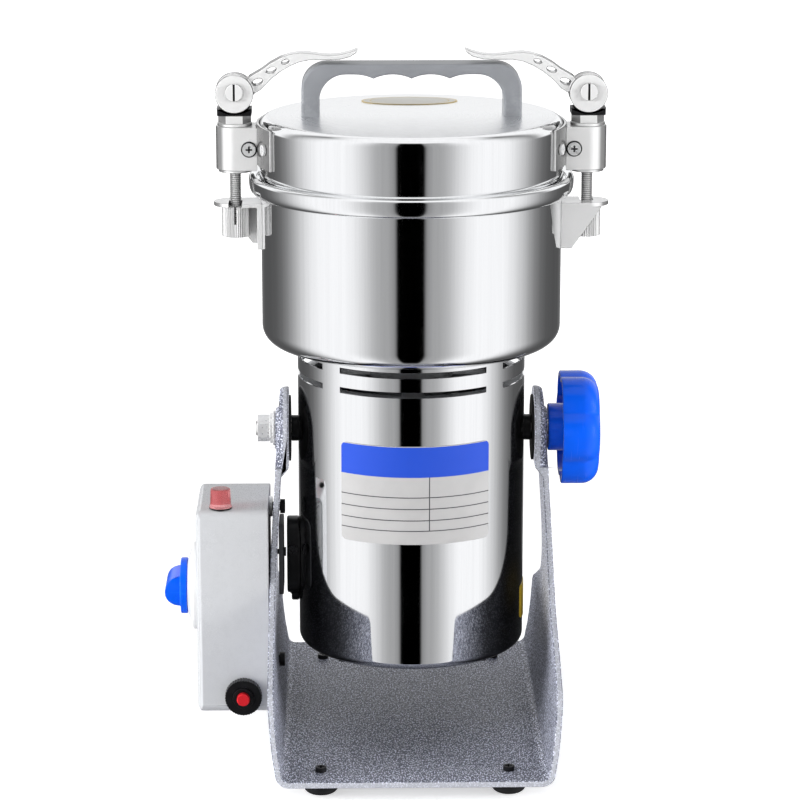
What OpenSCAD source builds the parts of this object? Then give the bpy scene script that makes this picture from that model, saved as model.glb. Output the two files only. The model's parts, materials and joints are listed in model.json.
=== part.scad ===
// Electric grain mill: a motor housing and grinding bowl swing on two side pivots in a U frame.
// X runs across the frame, Y from front to back, Z up. The bench is at zero, under the mill's axis.

/* [Frame] */
// Height of the floor plate's top above the bench
floor_top_z = 11; // [10:0.5:18]
// Thickness of the bent sheet
sheet_t = 3.2; // [2.5:0.1:4]
// Half the depth of the floor plate
floor_half_d = 113; // [106:1:125]
// How far each ear bows out past the floor crease
ear_bow = 3.8; // [1:0.1:5]
// Gap between the housing and the floor crease of an ear
floor_gap = 8.3; // [8:0.1:12]
// Gap between the housing and the inner face of an ear's head
ear_gap = 4.8; // [4:0.1:7]
// Radius of an ear's round head
ear_head_r = 22; // [20:0.5:26]
// Thickness of an ear's head
ear_head_t = 6; // [5:0.1:8]
// Height of the tilt axis above the bench
pivot_z = 167.5; // [162:0.5:179]
// Half the distance between the feet across
foot_half_x = 48; // [40:1:52]
// Half the distance between the feet from front to back
foot_half_y = 90; // [80:1:96]
// Radius of a rubber foot
foot_r = 9; // [8:0.5:12]

/* [Mill] */
// Outer radius of the motor housing
housing_r = 59.7; // [57:0.1:62]
// Wall of the motor housing
housing_wall = 1; // [0.8:0.1:1.5]
// Drop of the housing's bottom below the tilt axis
housing_drop = 115.6; // [112:0.2:122]
// Rise of the bowl's bottom above the tilt axis
bowl_rise = 47.9; // [46:0.1:54]
// Outer radius of the bowl
bowl_r = 78; // [76:0.2:82]
// Wall of the bowl
bowl_wall = 1.2; // [1:0.1:1.6]
// Height of the bowl's straight wall, from its bottom to the crease of its rim
bowl_h = 78.8; // [70:0.2:90]
// Bottom corner radius of the bowl
bowl_corner_r = 9.5; // [6:0.5:14]
// Radius of the pivot studs
stud_r = 4; // [3:0.1:5]
// Width of a vent slot
vent_h = 3.2; // [2:0.1:4]
// Vent slots round the housing in each row
vent_count = 4; // [3:1:6]

/* [Motor] */
// Room between the stator and the wall of the housing
stator_gap = 6.7; // [5:0.1:8]
// Radius of the rotor, as a share of the stator's
rotor_share = 0.529; // [0.5:0.001:0.54]
// Height of the stator core, as a share of the room between the end brackets
stator_h_share = 0.358; // [0.3:0.001:0.38]
// Radius of the shaft in the rotor
shaft_r = 8.5; // [8:0.1:9.5]
// Radius of the cooling fan, as a share of the stator's
fan_share = 0.904; // [0.8:0.001:0.92]
// Blades on the cooling fan
fan_blades = 8; // [6:1:12]
// Half the length of the lower blade
lower_blade_reach = 66; // [50:1:70]
// Half the length of the upper blade
upper_blade_reach = 56; // [40:1:66]

/* [Lid] */
// Height of the lid's wall above the bowl's crease
lid_h = 40; // [34:0.5:50]
// Wall of the lid
lid_wall = 1.2; // [1:0.1:1.6]
// Half the distance between the middles of the handle's legs
handle_half_w = 52; // [44:0.5:56]
// Height of the handle above the lid
handle_h = 27.3; // [26:0.1:28.2]
// Depth of the handle from front to back
handle_d = 18; // [14:0.5:24]

/* [Latches] */
// Distance from the bowl's wall to the middle of a latch rod
latch_reach = 13.2; // [12.6:0.1:16]
// Radius of a latch rod
rod_r = 3; // [2.5:0.1:3.5]
// Radius of a latch barrel
barrel_r = 9.8; // [9.2:0.1:11]
// Height of a latch barrel
barrel_h = 22.5; // [18:0.5:24]
// Radius of a lever's cam
cam_r = 9.9; // [9:0.1:11]
// Distance from a cam's middle to its pin
cam_offset = 1; // [0.6:0.1:1.4]
// Reach of a lever from its pin
lever_reach = 63.7; // [50:0.1:66]
// Width of a lever
lever_w = 10; // [9:0.5:14]

/* [Controls] */
// Width of the control box
box_w = 38.2; // [34:0.2:46]
// Depth of the control box
box_d = 60; // [56:1:80]
// Height of the control box
box_h = 111; // [104:1:120]
// Wall of the control box
box_wall = 2; // [1.5:0.1:3]
// Radius of the dial plate
dial_plate_r = 23.4; // [18:0.2:26]
// Radius of the timer dial
dial_r = 15; // [12:0.2:17]
// Radius of the lock knob
knob_r = 30.5; // [26:0.5:34]
// Depth of the lock knob's head
knob_d = 19.8; // [18:0.5:30]
// Lobes round the lock knob
knob_lobes = 6; // [5:1:8]

/* [Hidden] */
$fn = 96;

// Clearances: a running fit, a loose hole, a gap between bodies, and a cut's overrun
fit = 0.05;
loose = 0.15;
gap = 0.3;
cut = 1;

// Frame: crease, bend, joggle and outline of the ears
floor_half_w = housing_r + floor_gap;
floor_bottom_z = floor_top_z - sheet_t;
bend_r = 4;
ear_x = housing_r + ear_gap;
ear_top_z = pivot_z + ear_head_r;
ear_set = 0.6;
ear_bow_skew_share = 0.78;
ear_steps = 16;
joggle_drop = 16.5;
joggle_z = pivot_z - joggle_drop;
joggle_h = 5;
joggle_start_z = joggle_z - joggle_h;
head_draft = 2.6;
head_flare = 1.2;
head_out_low = ear_x + ear_head_t + head_flare;
head_round_r = 5;
shoulder_h = 41;
shoulder_z = floor_top_z + shoulder_h;
shoulder_set_back = 5;
shoulder_half_d = floor_half_d - shoulder_set_back;
shoulder_r = 10;
neck_drop = 83;
neck_z = pivot_z - neck_drop;
neck_r = 44;
neck_steps = 24;
boss_r = 11;
boss_x = head_out_low - head_flare / 6;
frame_span = 2 * (floor_half_w + ear_head_r);

// Feet: a rubber foot with a screw into it from the floor plate and an open socket below
foot_hole_r = 2.2;
foot_screw_r = 2;
foot_head_r = 2.9;
foot_head_h = 2.4;
foot_round_share = 0.42;
foot_shift_y = 6;
foot_socket_r = 3.6;
foot_socket_h = 3;
foot_socket_rest = 1;
foot_screw_end_z = foot_socket_h + foot_socket_rest;
driver_w = 1.1;
driver_l = 3.6;
driver_h = 1.3;

// Pivots: friction discs, spacers, washers and nut on the studs
disc_r = 17.4;
disc_t = 1;
spacer_r = 6.85;
washer_r = 9.2;
washer_t = 1.2;
spring_washer_t = 1.6;
pivot_nut_r = 7.4;
pivot_nut_h = 6.5;
stud_tail = 0.9;
hex = 6;

// Housing: rounded bottom corner, bottom lip, vent rows
housing_corner_r = 4.5;
housing_bottom_z = pivot_z - housing_drop;
bowl_bottom_z = pivot_z + bowl_rise;
lip_in = 12;
lip_r = housing_r - lip_in;
vent_span = 314.4 / vent_count;
vent_drop = 17.6;
vent_low_z = bowl_bottom_z - vent_drop;
vent_pitch = 10.2;
vent_rows = 2;
cover_t = 1.4;
cover_hole_r = 3;
cover_holes = 10;
cover_hole_pitch_r = 30;
cover_screws = 4;
cover_screw_r = 1.5;
cover_screw_head_r = 2.6;
cover_screw_head_h = 1.6;
cover_screw_l = 5;
cover_screw_pitch_r = (lip_r + housing_r - housing_corner_r) / 2;

// Bowl rim: crease, flare and rolled bead
crease_z = bowl_bottom_z + bowl_h;
bead_r = 2.2;
rim_out = 6.2;
rim_rise = 8;
bead_mid_r = bowl_r + rim_out - bead_r;
bead_mid_z = crease_z + rim_rise;
rim_shares = [[0.40, 0.02], [0.74, 0.13], [0.91, 0.32], [0.985, 0.6]];
hub_hole_r = 12;

// Lid: it sits inside the flared rim on a soft seal
lid_over = 0.7;
lid_r = bowl_r + lid_over;
lid_rise = 5.5;
lid_low_z = crease_z + lid_rise;
lid_top_z = crease_z + lid_h;
lid_corner_r = 5.5;
lid_lip = 3.4;
seal_h = 3;
seal_in = 0.5;

// Handle: legs, corners and finger scallops
leg_w = 9.4;
handle_bar_t = 5.4;
handle_corner_r = 13;
handle_inner_r = 13.5;
handle_edge = 1.6;
scallops = 4;
scallop_pitch = 19.6;
scallop_depth = 2.2;
handle_screw_r = 2;
handle_screw_head_r = 4;
handle_screw_head_h = 2.2;
handle_screw_depth = 12;
label_half_w = 25.5;
label_stretch_share = 0.53;
label_y = 47;

// Latches: places of the stack up the rod
latch_x = bowl_r + latch_reach;
ledge_t = 2.1;
ledge_drop = 4.7;
ledge_leg_h = 24;
ledge_top_z = crease_z - ledge_drop;
ledge_low_z = ledge_top_z - ledge_leg_h;
ledge_out = 11.3;
ledge_half_d = 10;
ledge_leg_t = 2;
ledge_slot_gap = 0.4;
ledge_slot_w = 2 * (rod_r + ledge_slot_gap);
gusset_t = 2;
gusset_foot = 5;
barrel_drop = 27.6;
barrel_low_z = lid_top_z - barrel_drop;
barrel_ring_h = 1.5;
barrel_ring_in = 1.2;
barrel_ring_r = barrel_r - barrel_ring_in;
barrel_top_z = barrel_low_z + barrel_h;
latch_washer_t = 1.5;
latch_washer_r = 9;
latch_nut_r = 8.6;
latch_nut_h = 4.1;
latch_nut_top_z = barrel_top_z + latch_washer_t + latch_nut_h;
seat_w = 17.7;
seat_d = 13;
seat_h = 3.7;
seat_dish_r = 15.2;
cam_gap = 0.45;
seat_floor_t = 0.9;
seat_dish_z = latch_nut_top_z + seat_floor_t;
cam_z = seat_dish_z + cam_gap + cam_r;
pin_z = cam_z + cam_offset;
pin_r = 2.5;
pin_head_r = 4.6;
pin_head_t = 1.4;
pin_slot_w = 1;
pin_slot_h = 0.7;
eye_r = 4.8;
eye_w = 6.2;
cam_w = 14;
fork_w = eye_w + 2 * gap;
fork_in = 1.6;
fork_r = cam_r + fork_in;
saddle_t = 1.5;
saddle_drop = 24.2;
saddle_low_z = lid_top_z - saddle_drop;
saddle_h = 21;
saddle_half_angle = 25.2;
saddle_screw_angle = 20.5;
latch_screw_r = 1.5;
latch_screw_head_r = 3.4;
latch_screw_head_h = 1.3;
latch_screw_l = 5;
barrel_screw_in = 7.5;
saddle_screw_head_r = 2.8;
cross_w = 0.9;
cross_l = 3.4;
cross_h = 0.8;
knurled_r = 7.3;
knurled_h = 16;
knurled_slot_w = 1.2;
knurled_slot_h = 9;
knurl_teeth = 40;
knurl_depth = 0.35;
rod_tail = 1.5;

// Lever: outline above and below, from the pin to the tip, as shares of the reach and of the cam's radius
lever_top_shares = [
  [0.127, 0.80], [0.226, 1.17], [0.290, 1.48], [0.372, 1.77], [0.452, 1.95], [0.532, 2.03],
  [0.614, 2.00], [0.694, 1.92], [0.775, 1.89], [0.855, 1.92], [0.936, 2.05], [1.000, 2.20]
];
lever_low_shares = [
  [0.990, 2.02], [0.936, 1.79], [0.855, 1.66], [0.775, 1.64], [0.614, 1.64], [0.532, 1.54],
  [0.452, 1.32], [0.372, 1.02], [0.289, 0.59], [0.223, 0.13], [0.140, -0.20]
];
lever_hole_shares = [[0.186, 0.50, 0.31], [0.302, 1.12, 0.27], [0.415, 1.55, 0.21]];
lever_hole_stretch_share = 0.5;

// Control box, outside the left ear
box_gap = 0.4;
box_x = -(floor_half_w + ear_bow + sheet_t + box_gap);
box_top_drop = 37.5;
box_top_z = pivot_z - box_top_drop;
box_low_z = box_top_z - box_h;
box_left_x = box_x - box_w;
box_r = 5;
box_clear = 0.2;
back_plate_t = 1.6;
box_bolt_r = 2.4;
box_bolt_head_r = 3.8;
box_bolt_head_h = 2.6;
box_bolt_end = 3;
box_bolt_upper_drop = 5.5;
box_bolt_lower_rise = 20;
box_bolt_upper_z = box_top_z - box_bolt_upper_drop;
box_bolt_lower_z = box_low_z + box_bolt_lower_rise;
plate_boss_r = 5.5;
lug_w = 8;
lug_d = 5;
lug_upper_drop = 22;
lug_lower_rise = 28;
lug_upper_z = box_top_z - lug_upper_drop;
lug_lower_z = box_low_z + lug_lower_rise;
box_screw_r = 1.5;
box_screw_head_r = 3;
box_screw_head_h = 1.6;
box_screw_l = 6;

// Timer: plate, dial, shaft and works
dial_rise = 61.8;
dial_z = box_low_z + dial_rise;
dial_plate_t = 5.4;
dial_plate_edge = 1.6;
dial_t = 3.6;
grip_r = 8.2;
grip_half_l = 13.6;
timer_shaft_r = 3;
timer_w = 34;
timer_h = 38;
timer_d = 22;
timer_neck_r = 5;

// Pilot lamp on top of the box
lamp_in = 13.2;
lamp_x = box_left_x + lamp_in;
lamp_y = -22.4;
lamp_r = 5.9;
lamp_top_r = 5.2;
lamp_h = 10;
lamp_seat_t = 0.8;
lamp_neck_r = 4.4;
lamp_body_r = 5.2;
lamp_body_h = 9;
lamp_round_r = 1;

// Breaker in the front of the box
breaker_in = 13.9;
breaker_rise = 10;
breaker_x = box_x - breaker_in;
breaker_z = box_low_z + breaker_rise;
breaker_nut_r = 9.8;
breaker_nut_t = 5;
breaker_neck_r = 5.6;
breaker_neck_out = 5.8;
breaker_neck_in = 3;
breaker_w = 16;
breaker_h = 14;
breaker_d = 20;
reset_r = 3.4;
reset_out = 2.7;
reset_travel = 3;
reset_l = 12;

// Cable gland in the back of the box, and the terminal block
gland_in = 19;
gland_rise = 20;
gland_x = box_left_x + gland_in;
gland_z = box_low_z + gland_rise;
gland_bore_r = 3.6;
gland_r = 8;
gland_flange_t = 4;
gland_dome_r = 6.6;
gland_dome_l = 9;
gland_thread_r = 5.8;
gland_nut_t = 2.5;
block_w = 12;
block_d = 24;
block_h = 11;
block_rise = 42;
block_z = box_low_z + block_rise;
block_y = 13;
block_ways = 3;
block_hole_r = 1.8;

// Motor lead: a rubber plate on the ear and a moulded cover on the housing
lead_drop = 69.5;
lead_z = pivot_z - lead_drop;
lead_plate_t = 2.4;
lead_plate_half_y = 15;
lead_plate_r = 6;
lead_plate_half_z = 19.5;
lead_hole_r = 4.5;
lead_hole_drop = 9;
lead_screw_r = 1.4;
lead_screw_rise = 5;
lead_screw_y = -12.2;
lead_screw_head_r = 2.4;
lead_screw_head_h = 1.4;
cover_half_y = 9.5;
cover_half_z = 21;
cover_out = 6.4;
cover_in = 3;
cover_boss_out = 4.2;
cover_boss_r = 4.5;

// Motor: heights of its pieces above the bottom of the housing
lower_bracket_rise = 16;
lower_bracket_z = housing_bottom_z + lower_bracket_rise;
bracket_t = 7;
upper_bracket_z = vent_low_z - bracket_t;
bracket_room = upper_bracket_z - lower_bracket_z;
stator_r = housing_r - housing_wall - stator_gap;
stator_h = stator_h_share * bracket_room;
rotor_r = rotor_share * stator_r;
bracket_ring_w = 5;
spoke_w = 11;
spokes = 4;
bearing_wall = 4.5;
lower_bearing_r = 15;
lower_bearing_h = 9;
lower_journal_r = 5;
upper_bearing_r = 17.5;
upper_bearing_h = 11;
upper_journal_r = 7.5;
comm_r = 16;
comm_h_share = 0.1465;
comm_h = comm_h_share * bracket_room;
comm_rise_share = 0.1627;
comm_z = lower_bracket_z + comm_rise_share * bracket_room;
comm_bars = 12;
comm_slit_w = 0.6;
comm_slit_d = 1.2;
brush_w = 10;
brush_h = 8;
brush_l = 20;
holder_wall = 1.6;
holder_in = 1;
holder_end = stator_r - holder_in;
holder_leg_d = 8;
core_rise_share = 0.3906;
core_z = lower_bracket_z + core_rise_share * bracket_room;
rotor_slots = 12;
rotor_slot_w = 2.2;
rotor_slot_d = 9;
winding_h_share = 0.0732;
winding_h = winding_h_share * bracket_room;
winding_r = 24;
winding_gap = 1;
winding_in_r = shaft_r + winding_gap;
air_gap = 0.8;
post_r = 3.5;
post_out = 0.5;
post_pitch_r = stator_r + post_out;
lug_r = 5;
coil_in_share = 0.635;
coil_in_r = coil_in_share * stator_r;
coil_out_share = 0.846;
coil_out_r = coil_out_share * stator_r;
coil_half_angle = 62;
coil_clear_angle = 1;
pole_half_angle = 38;
coil_rise = 9;
coil_clear = 0.4;
fan_r = fan_share * stator_r;
fan_gap = 1.7;
fan_h_share = 0.0976;
fan_h = fan_h_share * bracket_room;
fan_z = upper_bracket_z - sheet_t - fan_gap - fan_h;
fan_plate_t = 1.6;
fan_hub_r = 14;
fan_blade_t = 1.4;
fan_eye_r = 24;
upper_hub_drop = 2;
upper_hub_top_z = bowl_bottom_z - upper_hub_drop;

// Blades: a stack on the thread above the bowl's bottom
thread_r = 5;
collar_r = 12;
collar_h = 10;
blade_t = 2.4;
blade_w = 17;
blade_tip_share = 0.6;
blade_hub_r = 14;
blade_gap_h = 9;
blade_washer_t = 1.6;
blade_nut_r = 9.5;
blade_nut_h = 8;
seal_r = hub_hole_r - fit;
seal_flange_r = 16;
seal_flange_t = 1.6;
seat_z = bowl_bottom_z + bowl_wall;
collar_z = seat_z + seal_flange_t + gap;
lower_blade_z = collar_z + collar_h;
upper_blade_z = lower_blade_z + blade_t + blade_gap_h;
blade_nut_z = upper_blade_z + blade_t + blade_washer_t;

// Nameplate round the front of the housing
plate_t = 0.4;
plate_half_angle = 39.5;
plate_drop = 47;
plate_low_z = pivot_z - plate_drop;
plate_h = 52;
plate_corner_r = 2.6;
plate_turn = 1.3;
side_label_half_angle = 17;
side_label_turn = 92;
side_label_rise = 14;
side_label_low_z = housing_bottom_z + side_label_rise;
side_label_h = 18;

// Places along an arc about a point
function arc(c, r, a0, a1, n = 8) = [
  for (i = [0:n])
    c + r * [cos(a0 + (a1 - a0) * i / n), sin(a0 + (a1 - a0) * i / n)]
];

// Share of the way up an ear, from its bend to its joggle
function ear_share(z) = (z - floor_top_z - bend_r) / (joggle_start_z - floor_top_z - bend_r);

// Distance of an ear's inner face from the middle at a height
function ear_in(z) =
  floor_half_w + ear_bow * sin(180 * pow(max(0, ear_share(z)), ear_bow_skew_share))
  + ear_set * ear_share(z);

function flip(points) = [for (p = points) [-p[0], p[1]]];
function backwards(points) = [for (i = [len(points) - 1:-1:0]) points[i]];

// Lies along X, starting at zero
module along_x() {
  rotate([90, 0, 90]) children();
}

module both_sides() {
  children();
  rotate([0, 0, 180]) children();
}

module ring(r_out, r_in, h) {
  difference() {
    cylinder(r = r_out, h = h);
    translate([0, 0, -cut]) cylinder(r = r_in, h = h + 2 * cut);
  }
}

// A disc whose rim is cut with fine teeth
module knurled(r, h, teeth, depth) {
  points = [
    for (i = [0:2 * teeth - 1])
      (r - (i % 2) * depth) * [cos(180 * i / teeth), sin(180 * i / teeth)]
  ];
  linear_extrude(height = h) polygon(points);
}

// A rectangle with round corners, about the middle
module round_rect(w, h, r) {
  points = concat(
    arc([w / 2 - r, h / 2 - r], r, 0, 90), arc([r - w / 2, h / 2 - r], r, 90, 180),
    arc([r - w / 2, r - h / 2], r, 180, 270), arc([w / 2 - r, r - h / 2], r, 270, 360)
  );
  polygon(points);
}

// A flat-headed screw with a cross recess, standing on zero with its shank down
module cross_screw(r, l, head_r, head_h) {
  difference() {
    union() {
      cylinder(r = head_r, h = head_h);
      translate([0, 0, -l]) cylinder(r = r, h = l);
    }
    for (a = [0, 90])
      rotate([0, 0, a])
        translate([-cross_l / 2, -cross_w / 2, head_h - cross_h])
          cube([cross_l, cross_w, cross_h + cut]);
  }
}

// Frame

module frame_profile() {
  outer = concat(
    arc([floor_half_w - bend_r, floor_top_z + bend_r], bend_r + sheet_t, -90, 0),
    [
      for (i = [1:ear_steps])
        let (z = floor_top_z + bend_r + (joggle_start_z - floor_top_z - bend_r) * i / ear_steps)
          [ear_in(z) + sheet_t, z]
    ],
    [[head_out_low, joggle_z], [head_out_low - head_draft, ear_top_z + cut]]
  );
  inner = concat(
    [[ear_x, ear_top_z + cut], [ear_x, joggle_z]],
    [
      for (i = [ear_steps:-1:1])
        let (z = floor_top_z + bend_r + (joggle_start_z - floor_top_z - bend_r) * i / ear_steps)
          [ear_in(z), z]
    ],
    arc([floor_half_w - bend_r, floor_top_z + bend_r], bend_r, 0, -90)
  );
  side = concat(outer, inner);
  polygon(concat(side, backwards(flip(side))));
}

// Outline of the frame seen from the side, up to the neck of the ears
module frame_outline() {
  slope = atan2(neck_z - shoulder_z, shoulder_half_d - ear_head_r);
  turn = 90 - slope;
  shoulder_set = shoulder_r * tan(turn / 2);
  neck_set = neck_r * tan(turn / 2);
  half = concat(
    [[floor_half_d, floor_bottom_z - cut], [floor_half_d, floor_top_z + bend_r]],
    arc([shoulder_half_d - shoulder_r, shoulder_z - shoulder_set], shoulder_r, 0, turn),
    arc([ear_head_r + neck_r, neck_z + neck_set], neck_r, 180 + turn, 180, neck_steps),
    [[ear_head_r, joggle_z]]
  );
  polygon(concat(half, backwards(flip(half))));
}

// The round head of an ear, with its outer edge rounded off
module ear_head_envelope() {
  reach = head_out_low + cut;
  edge = arc([ear_head_r - head_round_r, head_out_low - head_round_r - sheet_t / 4], head_round_r, 0, 90);
  half = concat([[ear_head_r, ear_x - cut]], edge, [[ear_head_r - head_round_r, reach]]);
  translate([0, 0, pivot_z])
    rotate([0, 90, 0])
      rotate_extrude() polygon(concat([[0, ear_x - cut]], half, [[0, reach]]));
  translate([0, 0, joggle_z - cut / 2])
    linear_extrude(height = pivot_z - joggle_z + cut / 2)
      rotate(-90) polygon(concat(half, backwards(flip(half))));
}

module foot_places() {
  for (x = [-foot_half_x, foot_half_x], y = [-foot_half_y, foot_half_y])
    translate([x, y - foot_shift_y, 0]) children();
}

module frame_bracket() {
  color("#8d9096") {
    difference() {
      union() {
        intersection() {
          rotate([90, 0, 0])
            linear_extrude(height = 2 * floor_half_d + cut, center = true) frame_profile();
          union() {
            rotate([90, 0, 90])
              linear_extrude(height = frame_span, center = true) frame_outline();
            ear_head_envelope();
            mirror([1, 0, 0]) ear_head_envelope();
          }
        }
        for (side = [0, 1])
          mirror([side, 0, 0])
            translate([ear_x, 0, pivot_z])
              rotate([0, 90, 0]) cylinder(r = boss_r, h = boss_x - ear_x);
      }
      translate([-frame_span / 2, 0, pivot_z])
        rotate([0, 90, 0]) cylinder(r = stud_r + fit, h = frame_span);
      translate([0, 0, floor_bottom_z - cut])
        foot_places() cylinder(r = foot_hole_r, h = sheet_t + 2 * cut);
      for (z = [box_bolt_upper_z, box_bolt_lower_z])
        translate([-frame_span / 2, 0, z])
          rotate([0, 90, 0]) cylinder(r = box_bolt_r + loose, h = frame_span / 2);
      translate([-frame_span / 2, 0, lead_z - lead_hole_drop])
        rotate([0, 90, 0]) cylinder(r = lead_hole_r, h = frame_span / 2);
      translate([-frame_span / 2, lead_screw_y, lead_z + lead_screw_rise])
        rotate([0, 90, 0]) cylinder(r = lead_screw_r + loose, h = frame_span / 2);
    }
  }
}

module rubber_feet() {
  round_r = foot_r * foot_round_share;
  profile = concat(
    [[0, 0]], arc([foot_r - round_r, round_r], round_r, -90, 0),
    [[foot_r, floor_bottom_z], [0, floor_bottom_z]]
  );
  color("#17181a")
    foot_places() difference() {
      rotate_extrude() polygon(profile);
      translate([0, 0, -cut]) cylinder(r = foot_socket_r, h = foot_socket_h + cut);
      cylinder(r = foot_screw_r + loose, h = floor_bottom_z + cut);
    }
}

module foot_screws() {
  color("#2b2d30")
    foot_places() difference() {
      union() {
        translate([0, 0, foot_screw_end_z])
          cylinder(r = foot_screw_r, h = floor_top_z - foot_screw_end_z);
        translate([0, 0, floor_top_z]) cylinder(r = foot_head_r, h = foot_head_h);
      }
      translate([-driver_l / 2, -driver_w / 2, floor_top_z + foot_head_h - driver_h])
        cube([driver_l, driver_w, driver_h + cut]);
      translate([-driver_w / 2, -driver_l / 2, floor_top_z + foot_head_h - driver_h])
        cube([driver_w, driver_l, driver_h + cut]);
    }
}

module friction_discs() {
  color("#101114")
    both_sides()
      translate([ear_x - disc_t, 0, pivot_z])
        rotate([0, 90, 0]) ring(disc_r, stud_r + loose, disc_t);
}

// Control box

// The box's solid, rounded all round but square where it meets the ear
module box_form(inset) {
  w = box_w - inset;
  d = box_d - 2 * inset;
  h = box_h - 2 * inset;
  r = box_r - inset;
  mid_z = (box_low_z + box_top_z) / 2;
  intersection() {
    translate([box_x - w, 0, mid_z])
      along_x() linear_extrude(height = w) round_rect(d, h, r);
    translate([box_x - w / 2 + r, 0, mid_z])
      rotate([90, 0, 0])
        linear_extrude(height = d + cut, center = true) round_rect(w + 2 * r, h + cut, r);
    translate([box_x - w / 2 + r, 0, mid_z])
      linear_extrude(height = h + cut, center = true) round_rect(w + 2 * r, d + cut, r);
  }
}

module control_box() {
  color("#d5d7da")
    difference() {
      box_form(0);
      translate([cut, 0, 0]) box_form(box_wall);
      box_form(box_wall);
      translate([box_left_x - cut, 0, dial_z])
        rotate([0, 90, 0]) cylinder(r = timer_neck_r + loose, h = box_wall + 2 * cut);
      translate([lamp_x, lamp_y, box_top_z - box_r - cut])
        cylinder(r = lamp_neck_r + loose, h = box_r + 2 * cut);
      translate([breaker_x, box_r + cut - box_d / 2, breaker_z])
        rotate([90, 0, 0]) cylinder(r = breaker_neck_r + loose, h = box_r + 2 * cut);
      translate([gland_x, box_d / 2 + cut, gland_z])
        rotate([90, 0, 0]) cylinder(r = gland_thread_r + loose, h = box_wall + 2 * cut);
      for (z = [lug_upper_z, lug_lower_z])
        translate([box_x - back_plate_t - lug_w / 2, box_d / 2 + cut, z])
          rotate([90, 0, 0]) cylinder(r = box_screw_r + loose, h = box_wall + 2 * cut);
    }
}

module box_back_plate() {
  in_d = box_d - 2 * box_wall - 2 * box_clear;
  in_h = box_h - 2 * box_wall - 2 * box_clear;
  mid_z = (box_low_z + box_top_z) / 2;
  color("#9fa2a7")
    difference() {
      union() {
        translate([box_x - back_plate_t, 0, mid_z])
          along_x() linear_extrude(height = back_plate_t) round_rect(in_d, in_h, box_r - box_wall);
        for (z = [lug_upper_z, lug_lower_z])
          translate([box_x - back_plate_t - lug_w, in_d / 2 - lug_d, z - lug_w / 2])
            cube([lug_w, lug_d, lug_w]);
        for (z = [box_bolt_upper_z, box_bolt_lower_z])
          translate([box_x, 0, z])
            rotate([0, 90, 0]) cylinder(r = plate_boss_r, h = -box_x - boss_seat(z));
      }
      for (z = [box_bolt_upper_z, box_bolt_lower_z])
        translate([box_x - back_plate_t - cut, 0, z])
          rotate([0, 90, 0]) cylinder(r = box_bolt_r + loose, h = back_plate_t + box_w);
      translate([box_x - back_plate_t - cut, 0, lead_z - lead_hole_drop])
        rotate([0, 90, 0]) cylinder(r = lead_hole_r, h = back_plate_t + 2 * cut);
      for (z = [lug_upper_z, lug_lower_z])
        translate([box_x - back_plate_t - lug_w / 2, box_d / 2, z])
          rotate([90, 0, 0]) cylinder(r = box_screw_r + loose, h = box_wall + box_screw_l + cut);
    }
}

// Distance from the middle at which a boss meets the outer face of the left ear
function boss_seat(z) =
  max(ear_in(z) + sheet_t, ear_in(z - plate_boss_r) + sheet_t, ear_in(z + plate_boss_r) + sheet_t) + loose;

// Distance from the middle at which the lead plate meets the inner face of the left ear
lead_seat = min(ear_in(lead_z - lead_plate_half_z), ear_in(lead_z + lead_plate_half_z)) - loose;

// Distance from the middle at which a bolt's head meets the inner face of the left ear
function head_seat(z) = min(ear_in(z), ear_in(z - box_bolt_head_r), ear_in(z + box_bolt_head_r)) - loose;

module box_screws() {
  color("#1b1c1f") {
    for (z = [box_bolt_upper_z, box_bolt_lower_z])
      translate([-head_seat(z), 0, z])
        rotate([0, 90, 0])
          cross_screw(box_bolt_r, -box_x - head_seat(z) + back_plate_t + box_bolt_end,
            box_bolt_head_r, box_bolt_head_h);
    for (z = [lug_upper_z, lug_lower_z])
      translate([box_x - back_plate_t - lug_w / 2, box_d / 2, z])
        rotate([-90, 0, 0]) cross_screw(box_screw_r, box_screw_l, box_screw_head_r, box_screw_head_h);
    translate([lead_plate_t - lead_seat, lead_screw_y, lead_z + lead_screw_rise])
      rotate([0, 90, 0])
        cross_screw(lead_screw_r, lead_plate_t + sheet_t, lead_screw_head_r, lead_screw_head_h);
  }
}

module dial_plate() {
  profile = concat(
    [[0, 0], [dial_plate_r, 0]],
    arc([dial_plate_r - dial_plate_edge, dial_plate_edge], dial_plate_edge, 0, 60, 5),
    [[dial_r, dial_plate_t], [0, dial_plate_t]]
  );
  color("#f1f2f3")
    translate([box_left_x, 0, dial_z])
      rotate([0, -90, 0]) difference() {
        rotate_extrude() polygon(profile);
        translate([0, 0, -cut]) cylinder(r = timer_neck_r + loose, h = dial_plate_t + 2 * cut);
      }
}

module timer_switch() {
  works_x = box_left_x + box_wall;
  color("#c9c4b4")
    difference() {
      union() {
        translate([works_x, -timer_w / 2, dial_z - timer_h / 2]) cube([timer_d, timer_w, timer_h]);
        translate([works_x, 0, dial_z])
          rotate([0, -90, 0]) cylinder(r = timer_neck_r, h = box_wall + dial_plate_t);
      }
      translate([works_x + timer_d / 2, 0, dial_z])
        rotate([0, -90, 0])
          cylinder(r = timer_shaft_r + fit, h = timer_d / 2 + box_wall + dial_plate_t + cut);
    }
}

module timer_dial() {
  face_x = box_left_x - dial_plate_t - gap;
  color("#0a62f5") {
    translate([face_x, 0, dial_z]) rotate([0, -90, 0]) cylinder(r = dial_r, h = dial_t);
    intersection() {
      translate([face_x - dial_t, grip_half_l, dial_z])
        rotate([90, 0, 0]) cylinder(r = grip_r, h = 2 * grip_half_l);
      translate([face_x - dial_t, 0, dial_z])
        rotate([0, -90, 0]) cylinder(r = grip_half_l, h = grip_r + cut);
    }
    translate([face_x, 0, dial_z])
      rotate([0, 90, 0])
        cylinder(r = timer_shaft_r, h = gap + dial_plate_t + box_wall + timer_d / 2 - gap);
  }
}

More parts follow.
